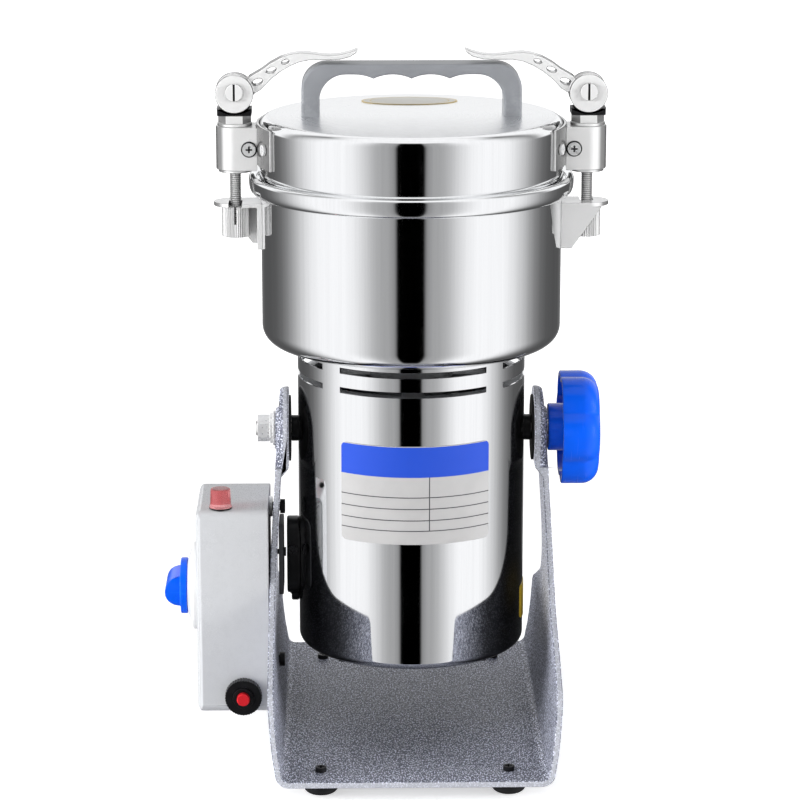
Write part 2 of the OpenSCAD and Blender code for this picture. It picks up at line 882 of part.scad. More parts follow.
module pilot_lamp_lens() {
  color("#d4202c")
    translate([lamp_x, lamp_y, box_top_z + lamp_seat_t])
      cylinder(r1 = lamp_r, r2 = lamp_top_r, h = lamp_h);
}

module pilot_lamp_base() {
  color("#2a1214")
    translate([lamp_x, lamp_y, 0]) {
      translate([0, 0, box_top_z]) cylinder(r = lamp_r + lamp_seat_t / 4, h = lamp_seat_t);
      translate([0, 0, box_top_z - box_r]) cylinder(r = lamp_neck_r, h = box_r);
      translate([0, 0, box_top_z - box_r - lamp_body_h]) cylinder(r = lamp_body_r, h = lamp_body_h);
    }
}

module breaker_body() {
  face_y = -box_d / 2;
  color("#24262a")
    difference() {
      union() {
        translate([breaker_x - breaker_w / 2, face_y + box_r, breaker_z - breaker_h / 2])
          cube([breaker_w, breaker_d, breaker_h]);
        translate([breaker_x, face_y + box_r, breaker_z])
          rotate([90, 0, 0]) cylinder(r = breaker_neck_r, h = box_r + breaker_neck_out);
      }
      translate([breaker_x, face_y - breaker_neck_out - cut, breaker_z])
        rotate([-90, 0, 0])
          cylinder(r = reset_r + fit, h = cut + reset_l - reset_out + reset_travel + gap);
    }
}

module breaker_nut() {
  color("#0c0c0e")
    translate([breaker_x, -box_d / 2, breaker_z])
      rotate([90, 0, 0]) difference() {
        knurled(breaker_nut_r, breaker_nut_t, knurl_teeth, knurl_depth);
        translate([0, 0, -cut]) cylinder(r = breaker_neck_r + loose, h = breaker_nut_t + 2 * cut);
      }
}

module reset_button() {
  color("#c8161d")
    translate([breaker_x, -box_d / 2 - breaker_neck_out - reset_out, breaker_z])
      rotate([-90, 0, 0]) cylinder(r = reset_r, h = reset_l);
}

module cable_gland() {
  color("#141518")
    translate([gland_x, box_d / 2, gland_z])
      rotate([-90, 0, 0]) difference() {
        union() {
          cylinder(r = gland_r, h = gland_flange_t, $fn = hex);
          translate([0, 0, gland_flange_t])
            cylinder(r1 = gland_dome_r, r2 = gland_thread_r, h = gland_dome_l);
          translate([0, 0, -box_wall]) cylinder(r = gland_thread_r, h = box_wall);
          translate([0, 0, -box_wall - gland_nut_t]) cylinder(r = gland_r, h = gland_nut_t, $fn = hex);
        }
        translate([0, 0, -box_wall - gland_nut_t - cut])
          cylinder(r = gland_bore_r, h = box_wall + gland_nut_t + gland_flange_t + gland_dome_l + 2 * cut);
      }
}

module terminal_block() {
  color("#e7e2d2")
    translate([box_x - back_plate_t - block_w, block_y - block_d / 2, block_z - block_h / 2])
      difference() {
        cube([block_w, block_d, block_h]);
        for (i = [0:block_ways - 1])
          translate([block_w / 3, block_d * (i + 0.5) / block_ways, -cut])
            cylinder(r = block_hole_r, h = block_h + 2 * cut);
      }
}

module lead_plate() {
  color("#33373b") {
    translate([-lead_seat, 0, lead_z])
      difference() {
        along_x() linear_extrude(height = lead_plate_t)
          round_rect(2 * lead_plate_half_y, 2 * lead_plate_half_z, lead_plate_r);
        translate([-cut, 0, -lead_hole_drop])
          rotate([0, 90, 0]) cylinder(r = lead_hole_r, h = lead_plate_t + 2 * cut);
        translate([-cut, lead_screw_y, lead_screw_rise])
          rotate([0, 90, 0]) cylinder(r = lead_screw_r + loose, h = lead_plate_t + 2 * cut);
      }
  }
}

module lead_cover() {
  color("#0d0d10")
    difference() {
      union() {
        translate([-housing_r - cover_out, 0, lead_z])
          along_x() linear_extrude(height = cover_out + cover_in)
            round_rect(2 * cover_half_y, 2 * cover_half_z, cover_half_y - loose);
        translate([-housing_r - cover_boss_out, 0, lead_z - cover_half_z])
          rotate([0, 90, 0]) cylinder(r = cover_boss_r, h = cover_boss_out + cover_in);
      }
      translate([0, 0, lead_z - 2 * cover_half_z])
        cylinder(r = housing_r, h = 4 * cover_half_z);
      translate([-housing_r - cover_out / 2, -cover_half_y - cut, lead_z + lead_screw_rise])
        rotate([-90, 0, 0]) cylinder(r = cover_screw_r + loose, h = cover_screw_l + 2 * cut);
    }
}

// Lock knob on the right stud

module knob_outline(r) {
  lobe_r = r * knob_lobe_share;
  circle(r = r * knob_core_share);
  for (i = [0:knob_lobes - 1])
    rotate(360 * i / knob_lobes) translate([r - lobe_r, 0]) circle(r = lobe_r);
}

knob_lobe_share = 0.38;
knob_core_share = 0.74;
knob_hub_r = 12.5;
knob_hub_l = 8.1;
knob_gap = 0.8;
knob_x = boss_x + knob_gap;
knob_back_x = knob_x + knob_hub_l - sheet_t / 2;
knob_wall = 3;
knob_edge_r = 9;
knob_bore_l = 20;
knob_turn = 30;

module lock_knob() {
  profile = concat(
    [[0, 0], [knob_r + cut, 0]],
    arc([knob_r - knob_edge_r, knob_d - knob_edge_r], knob_edge_r, 0, 80, 10),
    [[0, knob_d]]
  );
  color("#0a62f5")
    translate([knob_x, 0, pivot_z])
      rotate([0, 90, 0])
        rotate([0, 0, knob_turn]) difference() {
          union() {
            cylinder(r = knob_hub_r, h = knob_back_x - knob_x + knob_d - knob_wall);
            translate([0, 0, knob_back_x - knob_x])
              difference() {
                intersection() {
                  linear_extrude(height = knob_d) knob_outline(knob_r);
                  rotate_extrude() polygon(profile);
                }
                translate([0, 0, -cut])
                  linear_extrude(height = knob_d - 2 * knob_wall + cut)
                    knob_outline(knob_r - knob_wall);
              }
          }
          translate([0, 0, -cut]) cylinder(r = stud_r + fit, h = knob_bore_l + cut);
        }
}

// Mill housing

module motor_housing() {
  in_r = housing_r - housing_wall;
  in_corner_r = housing_corner_r - housing_wall;
  outer = concat(
    [[lip_r, 0]],
    arc([housing_r - housing_corner_r, housing_corner_r], housing_corner_r, -90, 0),
    [[housing_r, housing_drop + bowl_rise]]
  );
  inner = concat(
    [[in_r, housing_drop + bowl_rise]],
    arc([housing_r - housing_corner_r, housing_corner_r], in_corner_r, 0, -90),
    [[lip_r, housing_wall]]
  );
  slot_z = [for (i = [0:vent_rows - 1]) vent_low_z + i * vent_pitch];
  color("#dfe1e4")
    difference() {
      translate([0, 0, housing_bottom_z]) rotate_extrude() polygon(concat(outer, inner));
      for (z = slot_z, i = [0:vent_count - 1])
        rotate([0, 0, 270 - vent_span / 2 + 360 * i / vent_count])
          translate([0, 0, z])
            rotate_extrude(angle = vent_span)
              translate([in_r - cut, 0]) square([housing_wall + 2 * cut, vent_h]);
      translate([-housing_r - cut, 0, pivot_z])
        rotate([0, 90, 0]) cylinder(r = stud_r, h = 2 * housing_r + 2 * cut);
      for (i = [0:cover_screws - 1])
        rotate([0, 0, 45 + 360 * i / cover_screws])
          translate([cover_screw_pitch_r, 0, housing_bottom_z - cut])
            cylinder(r = cover_screw_r + loose, h = housing_wall + 2 * cut);
    }
}

module bottom_cover() {
  color("#b9bcc0")
    translate([0, 0, housing_bottom_z + housing_wall])
      difference() {
        cylinder(r = housing_r - housing_corner_r, h = cover_t);
        for (i = [0:cover_holes - 1])
          rotate([0, 0, 360 * i / cover_holes])
            translate([cover_hole_pitch_r, 0, -cut])
              cylinder(r = cover_hole_r, h = cover_t + 2 * cut);
        for (i = [0:cover_screws - 1])
          rotate([0, 0, 45 + 360 * i / cover_screws])
            translate([cover_screw_pitch_r, 0, -cut])
              cylinder(r = cover_screw_r + loose, h = cover_t + 2 * cut);
      }
}

module housing_screws() {
  color("#7d8084") {
    for (i = [0:cover_screws - 1])
      rotate([0, 0, 45 + 360 * i / cover_screws])
        translate([cover_screw_pitch_r, 0, housing_bottom_z])
          rotate([180, 0, 0])
            cross_screw(cover_screw_r, cover_screw_l, cover_screw_head_r, cover_screw_head_h);
    translate([-housing_r - cover_out / 2, -cover_half_y, lead_z + lead_screw_rise])
      rotate([90, 0, 0])
        cross_screw(cover_screw_r, cover_screw_l, cover_screw_head_r, cover_screw_head_h);
  }
}

// Bowl, with a flared rim and a rolled bead

module bowl() {
  in_corner_r = bowl_corner_r - bowl_wall;
  outer = concat(
    [[hub_hole_r, bowl_bottom_z]],
    arc([bowl_r - bowl_corner_r, bowl_bottom_z + bowl_corner_r], bowl_corner_r, -90, 0),
    [[bowl_r, crease_z]],
    [for (p = rim_shares) [bowl_r + p[0] * rim_out, crease_z + p[1] * rim_rise]],
    arc([bead_mid_r, bead_mid_z], bead_r, 0, 256, 20)
  );
  inner = concat(
    [[bowl_r - bowl_wall, crease_z + bowl_wall / 3]],
    arc([bowl_r - bowl_corner_r, bowl_bottom_z + bowl_corner_r], in_corner_r, 0, -90),
    [[hub_hole_r, bowl_bottom_z + bowl_wall]]
  );
  color("#e2e4e7") rotate_extrude() polygon(concat(outer, inner));
}

// A latch ledge on the right: a slotted shelf, a leg against the bowl and a gusset below
module ledge() {
  shelf_z = ledge_top_z - ledge_t;
  in_x = bowl_r - ledge_leg_t;
  difference() {
    union() {
      translate([0, 0, shelf_z]) {
        translate([in_x, -ledge_half_d, 0])
          cube([latch_x - in_x, 2 * ledge_half_d, ledge_t]);
        translate([latch_x + ledge_out - ledge_half_d, 0, 0])
          cylinder(r = ledge_half_d, h = ledge_t);
        translate([latch_x - cut, -ledge_half_d, 0])
          cube([ledge_out - ledge_half_d + cut, 2 * ledge_half_d, ledge_t]);
      }
      translate([in_x, -ledge_half_d, ledge_low_z])
        cube([2 * ledge_leg_t, 2 * ledge_half_d, ledge_top_z - ledge_low_z]);
      translate([0, -ledge_half_d + gusset_t, 0])
        rotate([90, 0, 0]) linear_extrude(height = gusset_t)
          polygon([
            [in_x, ledge_low_z], [bowl_r + gusset_foot, ledge_low_z],
            [latch_x + knurled_r, shelf_z], [in_x, shelf_z]
          ]);
    }
    translate([0, 0, ledge_low_z - cut])
      cylinder(r = bowl_r, h = ledge_top_z - ledge_low_z + 2 * cut);
    translate([latch_x, 0, shelf_z - cut])
      cylinder(r = ledge_slot_w / 2, h = ledge_t + 2 * cut);
    translate([latch_x - ledge_slot_w / 2, 0, shelf_z - cut])
      cube([ledge_slot_w, 2 * ledge_half_d, ledge_t + 2 * cut]);
  }
}

module latch_ledges() {
  color("#cfd1d5") both_sides() ledge();
}

// A thin plate bent round the housing, facing the front
module housing_label(half_angle, low_z, h, corner_r) {
  intersection() {
    difference() {
      translate([0, 0, low_z]) cylinder(r = housing_r + fit + plate_t, h = h);
      translate([0, 0, low_z - cut]) cylinder(r = housing_r + fit, h = h + 2 * cut);
    }
    translate([0, -housing_r / 2, low_z + h / 2])
      rotate([90, 0, 0])
        linear_extrude(height = housing_r) round_rect(2 * (housing_r + fit) * sin(half_angle), h, corner_r);
  }
}

module nameplate() {
  color("#b9bbbf")
    rotate([0, 0, plate_turn]) housing_label(plate_half_angle, plate_low_z, plate_h, plate_corner_r);
}

module side_label() {
  color("#e8c51c")
    rotate([0, 0, side_label_turn])
      housing_label(side_label_half_angle, side_label_low_z, side_label_h, plate_corner_r);
}

// Pivots

module pivot_studs() {
  flange_x = sqrt(pow(housing_r - housing_wall, 2) - pow(spacer_r, 2)) - fit;
  stud_in = flange_x - sheet_t;
  stud_end_left = boss_x + gap + washer_t + spring_washer_t + pivot_nut_h + stud_tail;
  color("#b5b8bc") {
    translate([-stud_end_left, 0, pivot_z])
      rotate([0, 90, 0]) cylinder(r = stud_r, h = stud_end_left - stud_in);
    translate([stud_in, 0, pivot_z])
      rotate([0, 90, 0]) cylinder(r = stud_r, h = knob_x + knob_bore_l - gap - stud_in);
    for (side = [0, 1])
      mirror([side, 0, 0])
        translate([stud_in, 0, pivot_z])
          rotate([0, 90, 0]) cylinder(r = spacer_r, h = sheet_t);
  }
}

module pivot_fasteners() {
  color("#c9ccd0")
    translate([-boss_x - gap, 0, pivot_z])
      rotate([0, -90, 0]) {
        ring(washer_r, stud_r + loose, washer_t);
        translate([0, 0, washer_t]) ring(washer_r - washer_t, stud_r + loose, spring_washer_t);
        translate([0, 0, washer_t + spring_washer_t])
          difference() {
            cylinder(r = pivot_nut_r, h = pivot_nut_h, $fn = hex);
            translate([0, 0, -cut]) cylinder(r = stud_r, h = pivot_nut_h + 2 * cut);
          }
      }
}

module pivot_spacers() {
  color("#111215")
    both_sides()
      difference() {
        translate([housing_r - housing_wall, 0, pivot_z])
          rotate([0, 90, 0]) ring(spacer_r, stud_r, ear_x - disc_t - gap - housing_r + housing_wall);
        translate([0, 0, pivot_z - 2 * spacer_r]) cylinder(r = housing_r, h = 4 * spacer_r);
      }
}

// Motor

module stator_core() {
  color("#6f7276")
    translate([0, 0, core_z])
      difference() {
        union() {
          cylinder(r = stator_r, h = stator_h);
          for (i = [0:spokes - 1])
            rotate([0, 0, 45 + 360 * i / spokes])
              translate([post_pitch_r, 0, 0]) cylinder(r = lug_r, h = stator_h);
        }
        translate([0, 0, -cut]) cylinder(r = rotor_r + air_gap, h = stator_h + 2 * cut);
        for (a = [0, 180], s = [-1, 1])
          rotate([0, 0, a + s * (pole_half_angle + coil_half_angle) / 2])
            rotate([0, 0, -(coil_half_angle - pole_half_angle) / 2 - coil_clear_angle])
              translate([0, 0, -cut])
                rotate_extrude(angle = coil_half_angle - pole_half_angle + 2 * coil_clear_angle)
                  translate([coil_in_r - coil_clear, 0])
                    square([coil_out_r - coil_in_r + 2 * coil_clear, stator_h + 2 * cut]);
      }
}

// A flat coil wound round each pole
module field_coils() {
  h = stator_h + 2 * coil_rise;
  color("#b5622a")
    for (a = [0, 180])
      rotate([0, 0, a])
        translate([0, 0, core_z - coil_rise])
          difference() {
            rotate([0, 0, -coil_half_angle])
              rotate_extrude(angle = 2 * coil_half_angle)
                translate([coil_in_r, 0]) square([coil_out_r - coil_in_r, h]);
            rotate([0, 0, -pole_half_angle])
              translate([0, 0, coil_rise - coil_clear])
                rotate_extrude(angle = 2 * pole_half_angle)
                  translate([coil_in_r - cut, 0])
                    square([coil_out_r - coil_in_r + 2 * cut, stator_h + 2 * coil_clear]);
          }
}

// A ring with spokes and a hub, fixed across the housing
module bracket(z, hub_z, hub_h, pocket_r, pocket_z, pocket_h, bore_r) {
  out_r = housing_r - housing_wall - fit;
  difference() {
    union() {
      translate([0, 0, z]) ring(out_r, out_r - bracket_ring_w, bracket_t);
      translate([0, 0, hub_z]) cylinder(r = pocket_r + bearing_wall, h = hub_h);
      for (i = [0:spokes - 1])
        rotate([0, 0, 360 * i / spokes])
          translate([pocket_r, -spoke_w / 2, z])
            cube([out_r - bracket_ring_w - pocket_r + fit, spoke_w, bracket_t]);
    }
    translate([0, 0, pocket_z]) cylinder(r = pocket_r, h = pocket_h);
    translate([0, 0, min(z, hub_z) - cut]) cylinder(r = bore_r, h = hub_h + bracket_t + 2 * cut);
  }
}

module stator_posts(z, h) {
  for (i = [0:spokes - 1])
    rotate([0, 0, 45 + 360 * i / spokes])
      translate([post_pitch_r, 0, z]) cylinder(r = post_r, h = h);
}

module end_brackets() {
  color("#aeb2b7") {
    stator_posts(lower_bracket_z + sheet_t, core_z - lower_bracket_z - sheet_t);
    stator_posts(core_z + stator_h, upper_bracket_z + sheet_t - core_z - stator_h);
    bracket(lower_bracket_z, lower_bracket_z - sheet_t, lower_bearing_h + 2 * sheet_t,
      lower_bearing_r, lower_bracket_z, lower_bearing_h + 2 * sheet_t, lower_journal_r + cut);
    bracket(upper_bracket_z, upper_bracket_z - sheet_t, upper_hub_top_z - upper_bracket_z + sheet_t,
      upper_bearing_r, upper_bracket_z, upper_hub_top_z - upper_bracket_z + cut, shaft_r + cut);
  }
}

module bearings() {
  color("#cfd2d6") {
    translate([0, 0, lower_bracket_z])
      ring(lower_bearing_r, lower_journal_r + fit, lower_bearing_h);
    translate([0, 0, upper_bracket_z])
      ring(upper_bearing_r, upper_journal_r + fit, upper_bearing_h);
  }
}

module brush_holders() {
  leg_drop = comm_z + comm_h / 2 - lower_bracket_z - bracket_t;
  color("#b8934a")
    both_sides()
      translate([0, comm_r + cut, comm_z + comm_h / 2])
        difference() {
          union() {
            translate([-brush_w / 2 - holder_wall, 0, -brush_h / 2 - holder_wall])
              cube([brush_w + 2 * holder_wall, holder_end - comm_r - cut, brush_h + 2 * holder_wall]);
            translate([-brush_w / 2, holder_end - comm_r - cut - holder_leg_d, -leg_drop])
              cube([brush_w, holder_leg_d, leg_drop]);
          }
          translate([-brush_w / 2 - fit, -cut, -brush_h / 2 - fit])
            cube([brush_w + 2 * fit, holder_end - comm_r - holder_wall, brush_h + 2 * fit]);
        }
}

module carbon_brushes() {
  color("#2c2d2f")
    both_sides()
      difference() {
        translate([-brush_w / 2, 0, comm_z + comm_h / 2 - brush_h / 2])
          cube([brush_w, comm_r + brush_l, brush_h]);
        translate([0, 0, comm_z - cut]) cylinder(r = comm_r + gap, h = comm_h + 2 * cut);
      }
}

module shaft_seal() {
  color("#3a3c40")
    difference() {
      union() {
        translate([0, 0, bowl_bottom_z]) cylinder(r = seal_r, h = bowl_wall);
        translate([0, 0, seat_z]) cylinder(r = seal_flange_r, h = seal_flange_t);
      }
      translate([0, 0, bowl_bottom_z - cut])
        cylinder(r = upper_journal_r + fit, h = bowl_wall + seal_flange_t + 2 * cut);
    }
}

module motor_shaft() {
  low_z = lower_bracket_z - loose;
  core_low_z = lower_bracket_z + lower_bearing_h + loose;
  core_top_z = upper_bracket_z - loose;
  color("#9da1a6") {
    translate([0, 0, low_z]) cylinder(r = lower_journal_r, h = core_low_z - low_z);
    translate([0, 0, core_low_z]) cylinder(r = shaft_r, h = core_top_z - core_low_z);
    translate([0, 0, core_top_z]) cylinder(r = upper_journal_r, h = collar_z - core_top_z);
    translate([0, 0, collar_z]) cylinder(r = thread_r, h = blade_nut_z + blade_nut_h - collar_z);
  }
}

module rotor_core() {
  color("#7c7f83")
    translate([0, 0, core_z + sheet_t / 2])
      difference() {
        cylinder(r = rotor_r, h = stator_h - sheet_t);
        translate([0, 0, -cut]) cylinder(r = shaft_r, h = stator_h + 2 * cut);
        for (i = [0:rotor_slots - 1])
          rotate([0, 0, 360 * i / rotor_slots])
            translate([rotor_r - rotor_slot_d, -rotor_slot_w / 2, -cut])
              cube([rotor_slot_d + cut, rotor_slot_w, stator_h + 2 * cut]);
      }
}

module rotor_windings() {
  r = winding_h / 3;
  end = concat(
    [[winding_in_r, 0], [winding_r, 0]],
    arc([winding_r - r, winding_h - r], r, 0, 90, 6),
    [[winding_in_r, winding_h]]
  );
  color("#b06a32") {
    translate([0, 0, core_z + sheet_t / 2 + stator_h - sheet_t]) rotate_extrude() polygon(end);
    translate([0, 0, core_z + sheet_t / 2]) mirror([0, 0, 1]) rotate_extrude() polygon(end);
  }
}

module commutator() {
  color("#b87333")
    translate([0, 0, comm_z])
      difference() {
        cylinder(r = comm_r, h = comm_h);
        translate([0, 0, -cut]) cylinder(r = shaft_r, h = comm_h + 2 * cut);
        for (i = [0:comm_bars - 1])
          rotate([0, 0, 360 * i / comm_bars])
            translate([comm_r - comm_slit_d, -comm_slit_w / 2, -cut])
              cube([comm_slit_d + cut, comm_slit_w, comm_h + 2 * cut]);
      }
}

module cooling_fan() {
  color("#c6c9cd")
    translate([0, 0, fan_z])
      difference() {
        union() {
          cylinder(r = fan_r, h = fan_plate_t);
          cylinder(r = fan_hub_r, h = fan_h);
          for (i = [0:fan_blades - 1])
            rotate([0, 0, 360 * i / fan_blades])
              translate([fan_hub_r - cut, -fan_blade_t / 2, 0])
                cube([fan_r - fan_hub_r, fan_blade_t, fan_h]);
        }
        translate([0, 0, -cut]) cylinder(r = shaft_r, h = fan_h + 2 * cut);
      }
}

// A flat bar blade that narrows to its tips
module blade(reach) {
  tip = blade_w * blade_tip_share / 2;
  difference() {
    union() {
      linear_extrude(height = blade_t)
        polygon([
          [-reach, -tip], [0, -blade_w / 2], [reach, -tip],
          [reach, tip], [0, blade_w / 2], [-reach, tip]
        ]);
      cylinder(r = blade_hub_r, h = blade_t);
    }
    translate([0, 0, -cut]) cylinder(r = thread_r, h = blade_t + 2 * cut);
  }
}

module lower_blade() {
  color("#d4d6d9") translate([0, 0, lower_blade_z]) blade(lower_blade_reach);
}

module upper_blade() {
  color("#d4d6d9")
    translate([0, 0, upper_blade_z]) rotate([0, 0, 90]) blade(upper_blade_reach);
}

module blade_clamp() {
  color("#c2c5c9") {
    translate([0, 0, collar_z]) ring(collar_r, thread_r, collar_h);
    translate([0, 0, lower_blade_z + blade_t]) ring(collar_r, thread_r, blade_gap_h);
    translate([0, 0, upper_blade_z + blade_t]) ring(collar_r, thread_r, blade_washer_t);
    translate([0, 0, blade_nut_z])
      difference() {
        cylinder(r = blade_nut_r, h = blade_nut_h, $fn = hex);
        translate([0, 0, -cut]) cylinder(r = thread_r, h = blade_nut_h + 2 * cut);
      }
  }
}

// Lid

module lid_shell() {
  in_r = lid_r - lid_wall;
  in_corner_r = lid_corner_r - lid_wall;
  outer = concat(
    [[lid_r - lid_lip, lid_low_z], [lid_r, lid_low_z]],
    arc([lid_r - lid_corner_r, lid_top_z - lid_corner_r], lid_corner_r, 0, 90),
    [[0, lid_top_z]]
  );
  inner = concat(
    [[0, lid_top_z - lid_wall]],
    arc([lid_r - lid_corner_r, lid_top_z - lid_corner_r], in_corner_r, 90, 0),
    [[in_r, lid_low_z + lid_wall], [lid_r - lid_lip, lid_low_z + lid_wall]]
  );
  color("#e4e6e8")
    difference() {
      rotate_extrude() polygon(concat(outer, inner));
      for (x = [-handle_half_w, handle_half_w])
        translate([x, 0, lid_top_z - lid_wall - cut])
          cylinder(r = handle_screw_r + loose, h = lid_wall + 2 * cut);
    }
}

module lid_seal() {
  color("#e9e6dc")
    translate([0, 0, lid_low_z - seal_h])
      ring(lid_r - seal_in, lid_r - lid_lip, seal_h);
}

// Outline of the handle seen from the front, drawn in all round by an inset
module handle_outline(inset) {
  half = handle_half_w + leg_w / 2 - inset;
  top = handle_h - inset;
  corner = handle_corner_r - inset;
  in_half = handle_half_w - leg_w / 2 + inset;
  under = handle_h - handle_bar_t + inset;
  in_corner = handle_inner_r + inset;
  cusp_r = (pow(scallop_pitch / 2, 2) + pow(scallop_depth, 2)) / (2 * scallop_depth);
  difference() {
    polygon(concat(
        [[-half, 0]], flip(arc([half - corner, top - corner], corner, 0, 90)),
        arc([half - corner, top - corner], corner, 90, 0), [[half, 0]]
      ));
    difference() {
      polygon(concat(
        [[-in_half, -cut]], flip(arc([in_half - in_corner, under - in_corner], in_corner, 0, 90)),
        arc([in_half - in_corner, under - in_corner], in_corner, 90, 0), [[in_half, -cut]]
      ));
      difference() {
        translate([-(scallops - 1) * scallop_pitch / 2, under - scallop_depth + inset])
          square([(scallops - 1) * scallop_pitch, scallop_depth + cut]);
        for (i = [0:scallops - 1])
          translate([(i - (scallops - 1) / 2) * scallop_pitch, under - cusp_r]) circle(r = cusp_r);
      }
    }
  }
}

module lid_handle() {
  color("#8f9298")
    difference() {
      union() {
        translate([0, handle_d / 2, lid_top_z])
          rotate([90, 0, 0]) linear_extrude(height = handle_d) handle_outline(handle_edge);
        translate([0, handle_d / 2 - handle_edge, lid_top_z])
          rotate([90, 0, 0]) linear_extrude(height = handle_d - 2 * handle_edge) handle_outline(0);
      }
      for (x = [-handle_half_w, handle_half_w])
        translate([x, 0, lid_top_z - cut]) cylinder(r = handle_screw_r, h = handle_screw_depth + cut);
    }
}

module oval(r, stretch) {
  polygon([for (i = [0:47]) r * [cos(7.5 * i), stretch * sin(7.5 * i)]]);
}

module lid_label() {
  color("#e9dfc4")
    translate([0, label_y, lid_top_z])
      linear_extrude(height = plate_t) oval(label_half_w, label_stretch_share);
}

// Screws of the handle, the saddles and the barrels
module lid_screws() {
  color("#b3b6ba") {
    for (x = [-handle_half_w, handle_half_w])
      translate([x, 0, lid_top_z - lid_wall])
        rotate([180, 0, 0])
          cross_screw(handle_screw_r, handle_screw_depth, handle_screw_head_r, handle_screw_head_h);
    both_sides() {
      for (a = [-saddle_screw_angle, saddle_screw_angle])
        rotate([0, 0, a])
          translate([lid_r + saddle_t + plate_t, 0, saddle_low_z + saddle_h / 2])
            rotate([0, 90, 0])
              cross_screw(latch_screw_r, saddle_t, saddle_screw_head_r, latch_screw_head_h);
      for (a = [-1, 1])
        translate([latch_x - barrel_screw_in, a * barrel_r, barrel_low_z + barrel_h / 2])
          rotate([-90 * a, 0, 0])
            cross_screw(latch_screw_r, latch_screw_l, latch_screw_head_r, latch_screw_head_h);
    }
  }
}

// Latches on the lid

module latch_saddles() {
  color("#d9dbde")
    both_sides()
      difference() {
        translate([0, 0, saddle_low_z])
          rotate([0, 0, -saddle_half_angle])
            rotate_extrude(angle = 2 * saddle_half_angle)
              translate([lid_r, 0]) square([saddle_t, saddle_h]);
        for (a = [-saddle_screw_angle, saddle_screw_angle])
          rotate([0, 0, a])
            translate([lid_r - cut, 0, saddle_low_z + saddle_h / 2])
              rotate([0, 90, 0]) cylinder(r = latch_screw_r + loose, h = saddle_t + 2 * cut);
      }
}

module latch_barrels() {
  color("#d2d4d8")
    both_sides()
      difference() {
        union() {
          translate([latch_x, 0, barrel_low_z]) cylinder(r = barrel_r, h = barrel_h);
          translate([lid_r, -barrel_r, barrel_low_z]) cube([latch_x - lid_r, 2 * barrel_r, barrel_h]);
          translate([latch_x, 0, barrel_low_z - barrel_ring_h])
            cylinder(r = barrel_ring_r, h = barrel_ring_h);
        }
        translate([0, 0, barrel_low_z - barrel_ring_h - cut])
          cylinder(r = lid_r + saddle_t, h = barrel_h + barrel_ring_h + 2 * cut);
        translate([latch_x, 0, barrel_low_z - barrel_ring_h - cut])
          cylinder(r = rod_r + fit, h = barrel_h + barrel_ring_h + 2 * cut);
        for (a = [-1, 1])
          translate([latch_x - barrel_screw_in, a * (barrel_r + cut), barrel_low_z + barrel_h / 2])
            rotate([90 * a, 0, 0]) cylinder(r = latch_screw_r + loose, h = latch_screw_l + 2 * cut);
      }
}

module latch_nuts() {
  color("#dadce0")
    both_sides()
      translate([latch_x, 0, barrel_top_z])
        difference() {
          union() {
            cylinder(r = latch_washer_r, h = latch_washer_t);
            translate([0, 0, latch_washer_t]) cylinder(r = latch_nut_r, h = latch_nut_h, $fn = hex);
          }
          translate([0, 0, -cut])
            cylinder(r = rod_r + fit, h = latch_washer_t + latch_nut_h + 2 * cut);
        }
}

module cam_seats() {
  color("#131417")
    both_sides()
      difference() {
        translate([latch_x - seat_w / 2, -seat_d / 2, latch_nut_top_z]) cube([seat_w, seat_d, seat_h]);
        translate([latch_x, seat_d, seat_dish_z + seat_dish_r])
          rotate([90, 0, 0]) cylinder(r = seat_dish_r, h = 2 * seat_d);
        translate([latch_x, 0, latch_nut_top_z - cut]) cylinder(r = rod_r + fit, h = seat_h + 2 * cut);
      }
}

knurled_top_z = ledge_top_z - ledge_t - gap;
rod_low_z = knurled_top_z - knurled_h + rod_tail;

// A latch rod with its eye and cross pin, on the right
module latch_rod() {
  translate([latch_x, 0, 0]) {
    difference() {
      union() {
        translate([0, 0, rod_low_z]) cylinder(r = rod_r, h = pin_z - rod_low_z);
        intersection() {
          translate([0, eye_w / 2, pin_z]) rotate([90, 0, 0]) cylinder(r = eye_r, h = eye_w);
          translate([0, 0, pin_z - eye_r]) cylinder(r = eye_r, h = 2 * eye_r);
        }
      }
      translate([0, eye_w, pin_z]) rotate([90, 0, 0]) cylinder(r = pin_r, h = 2 * eye_w);
    }
    difference() {
      union() {
        translate([0, cam_w / 2, pin_z]) rotate([90, 0, 0]) cylinder(r = pin_r, h = cam_w);
        for (a = [-1, 1])
          translate([0, a * (cam_w / 2 + loose), pin_z])
            rotate([-90 * a, 0, 0]) cylinder(r = pin_head_r, h = pin_head_t);
        for (a = [-1, 1])
          translate([0, a * cam_w / 2, pin_z]) rotate([-90 * a, 0, 0]) cylinder(r = pin_r, h = pin_head_t);
      }
      for (a = [-1, 1])
        translate([-pin_slot_w / 2, a * (cam_w / 2 + loose + pin_head_t) - pin_slot_h, pin_z - pin_head_r])
          cube([pin_slot_w, 2 * pin_slot_h, 2 * pin_head_r]);
    }
  }
}

module right_rod() {
  color("#c4c7cb") latch_rod();
}

module left_rod() {
  color("#c4c7cb") rotate([0, 0, 180]) latch_rod();
}

module knurled_nut() {
  translate([latch_x, 0, knurled_top_z - knurled_h])
    difference() {
      knurled(knurled_r, knurled_h, knurl_teeth, knurl_depth);
      translate([0, 0, -cut]) cylinder(r = rod_r, h = knurled_h + 2 * cut);
      translate([-knurled_slot_w / 2, -knurled_r - cut, knurled_h - knurled_slot_h])
        cube([knurled_slot_w, knurled_r + cut, knurled_slot_h + cut]);
    }
}

module right_knurled_nut() {
  color("#b9bcc1") mirror([0, 1, 0]) knurled_nut();
}

module left_knurled_nut() {
  color("#b9bcc1") rotate([0, 0, 180]) mirror([0, 1, 0]) knurled_nut();
}

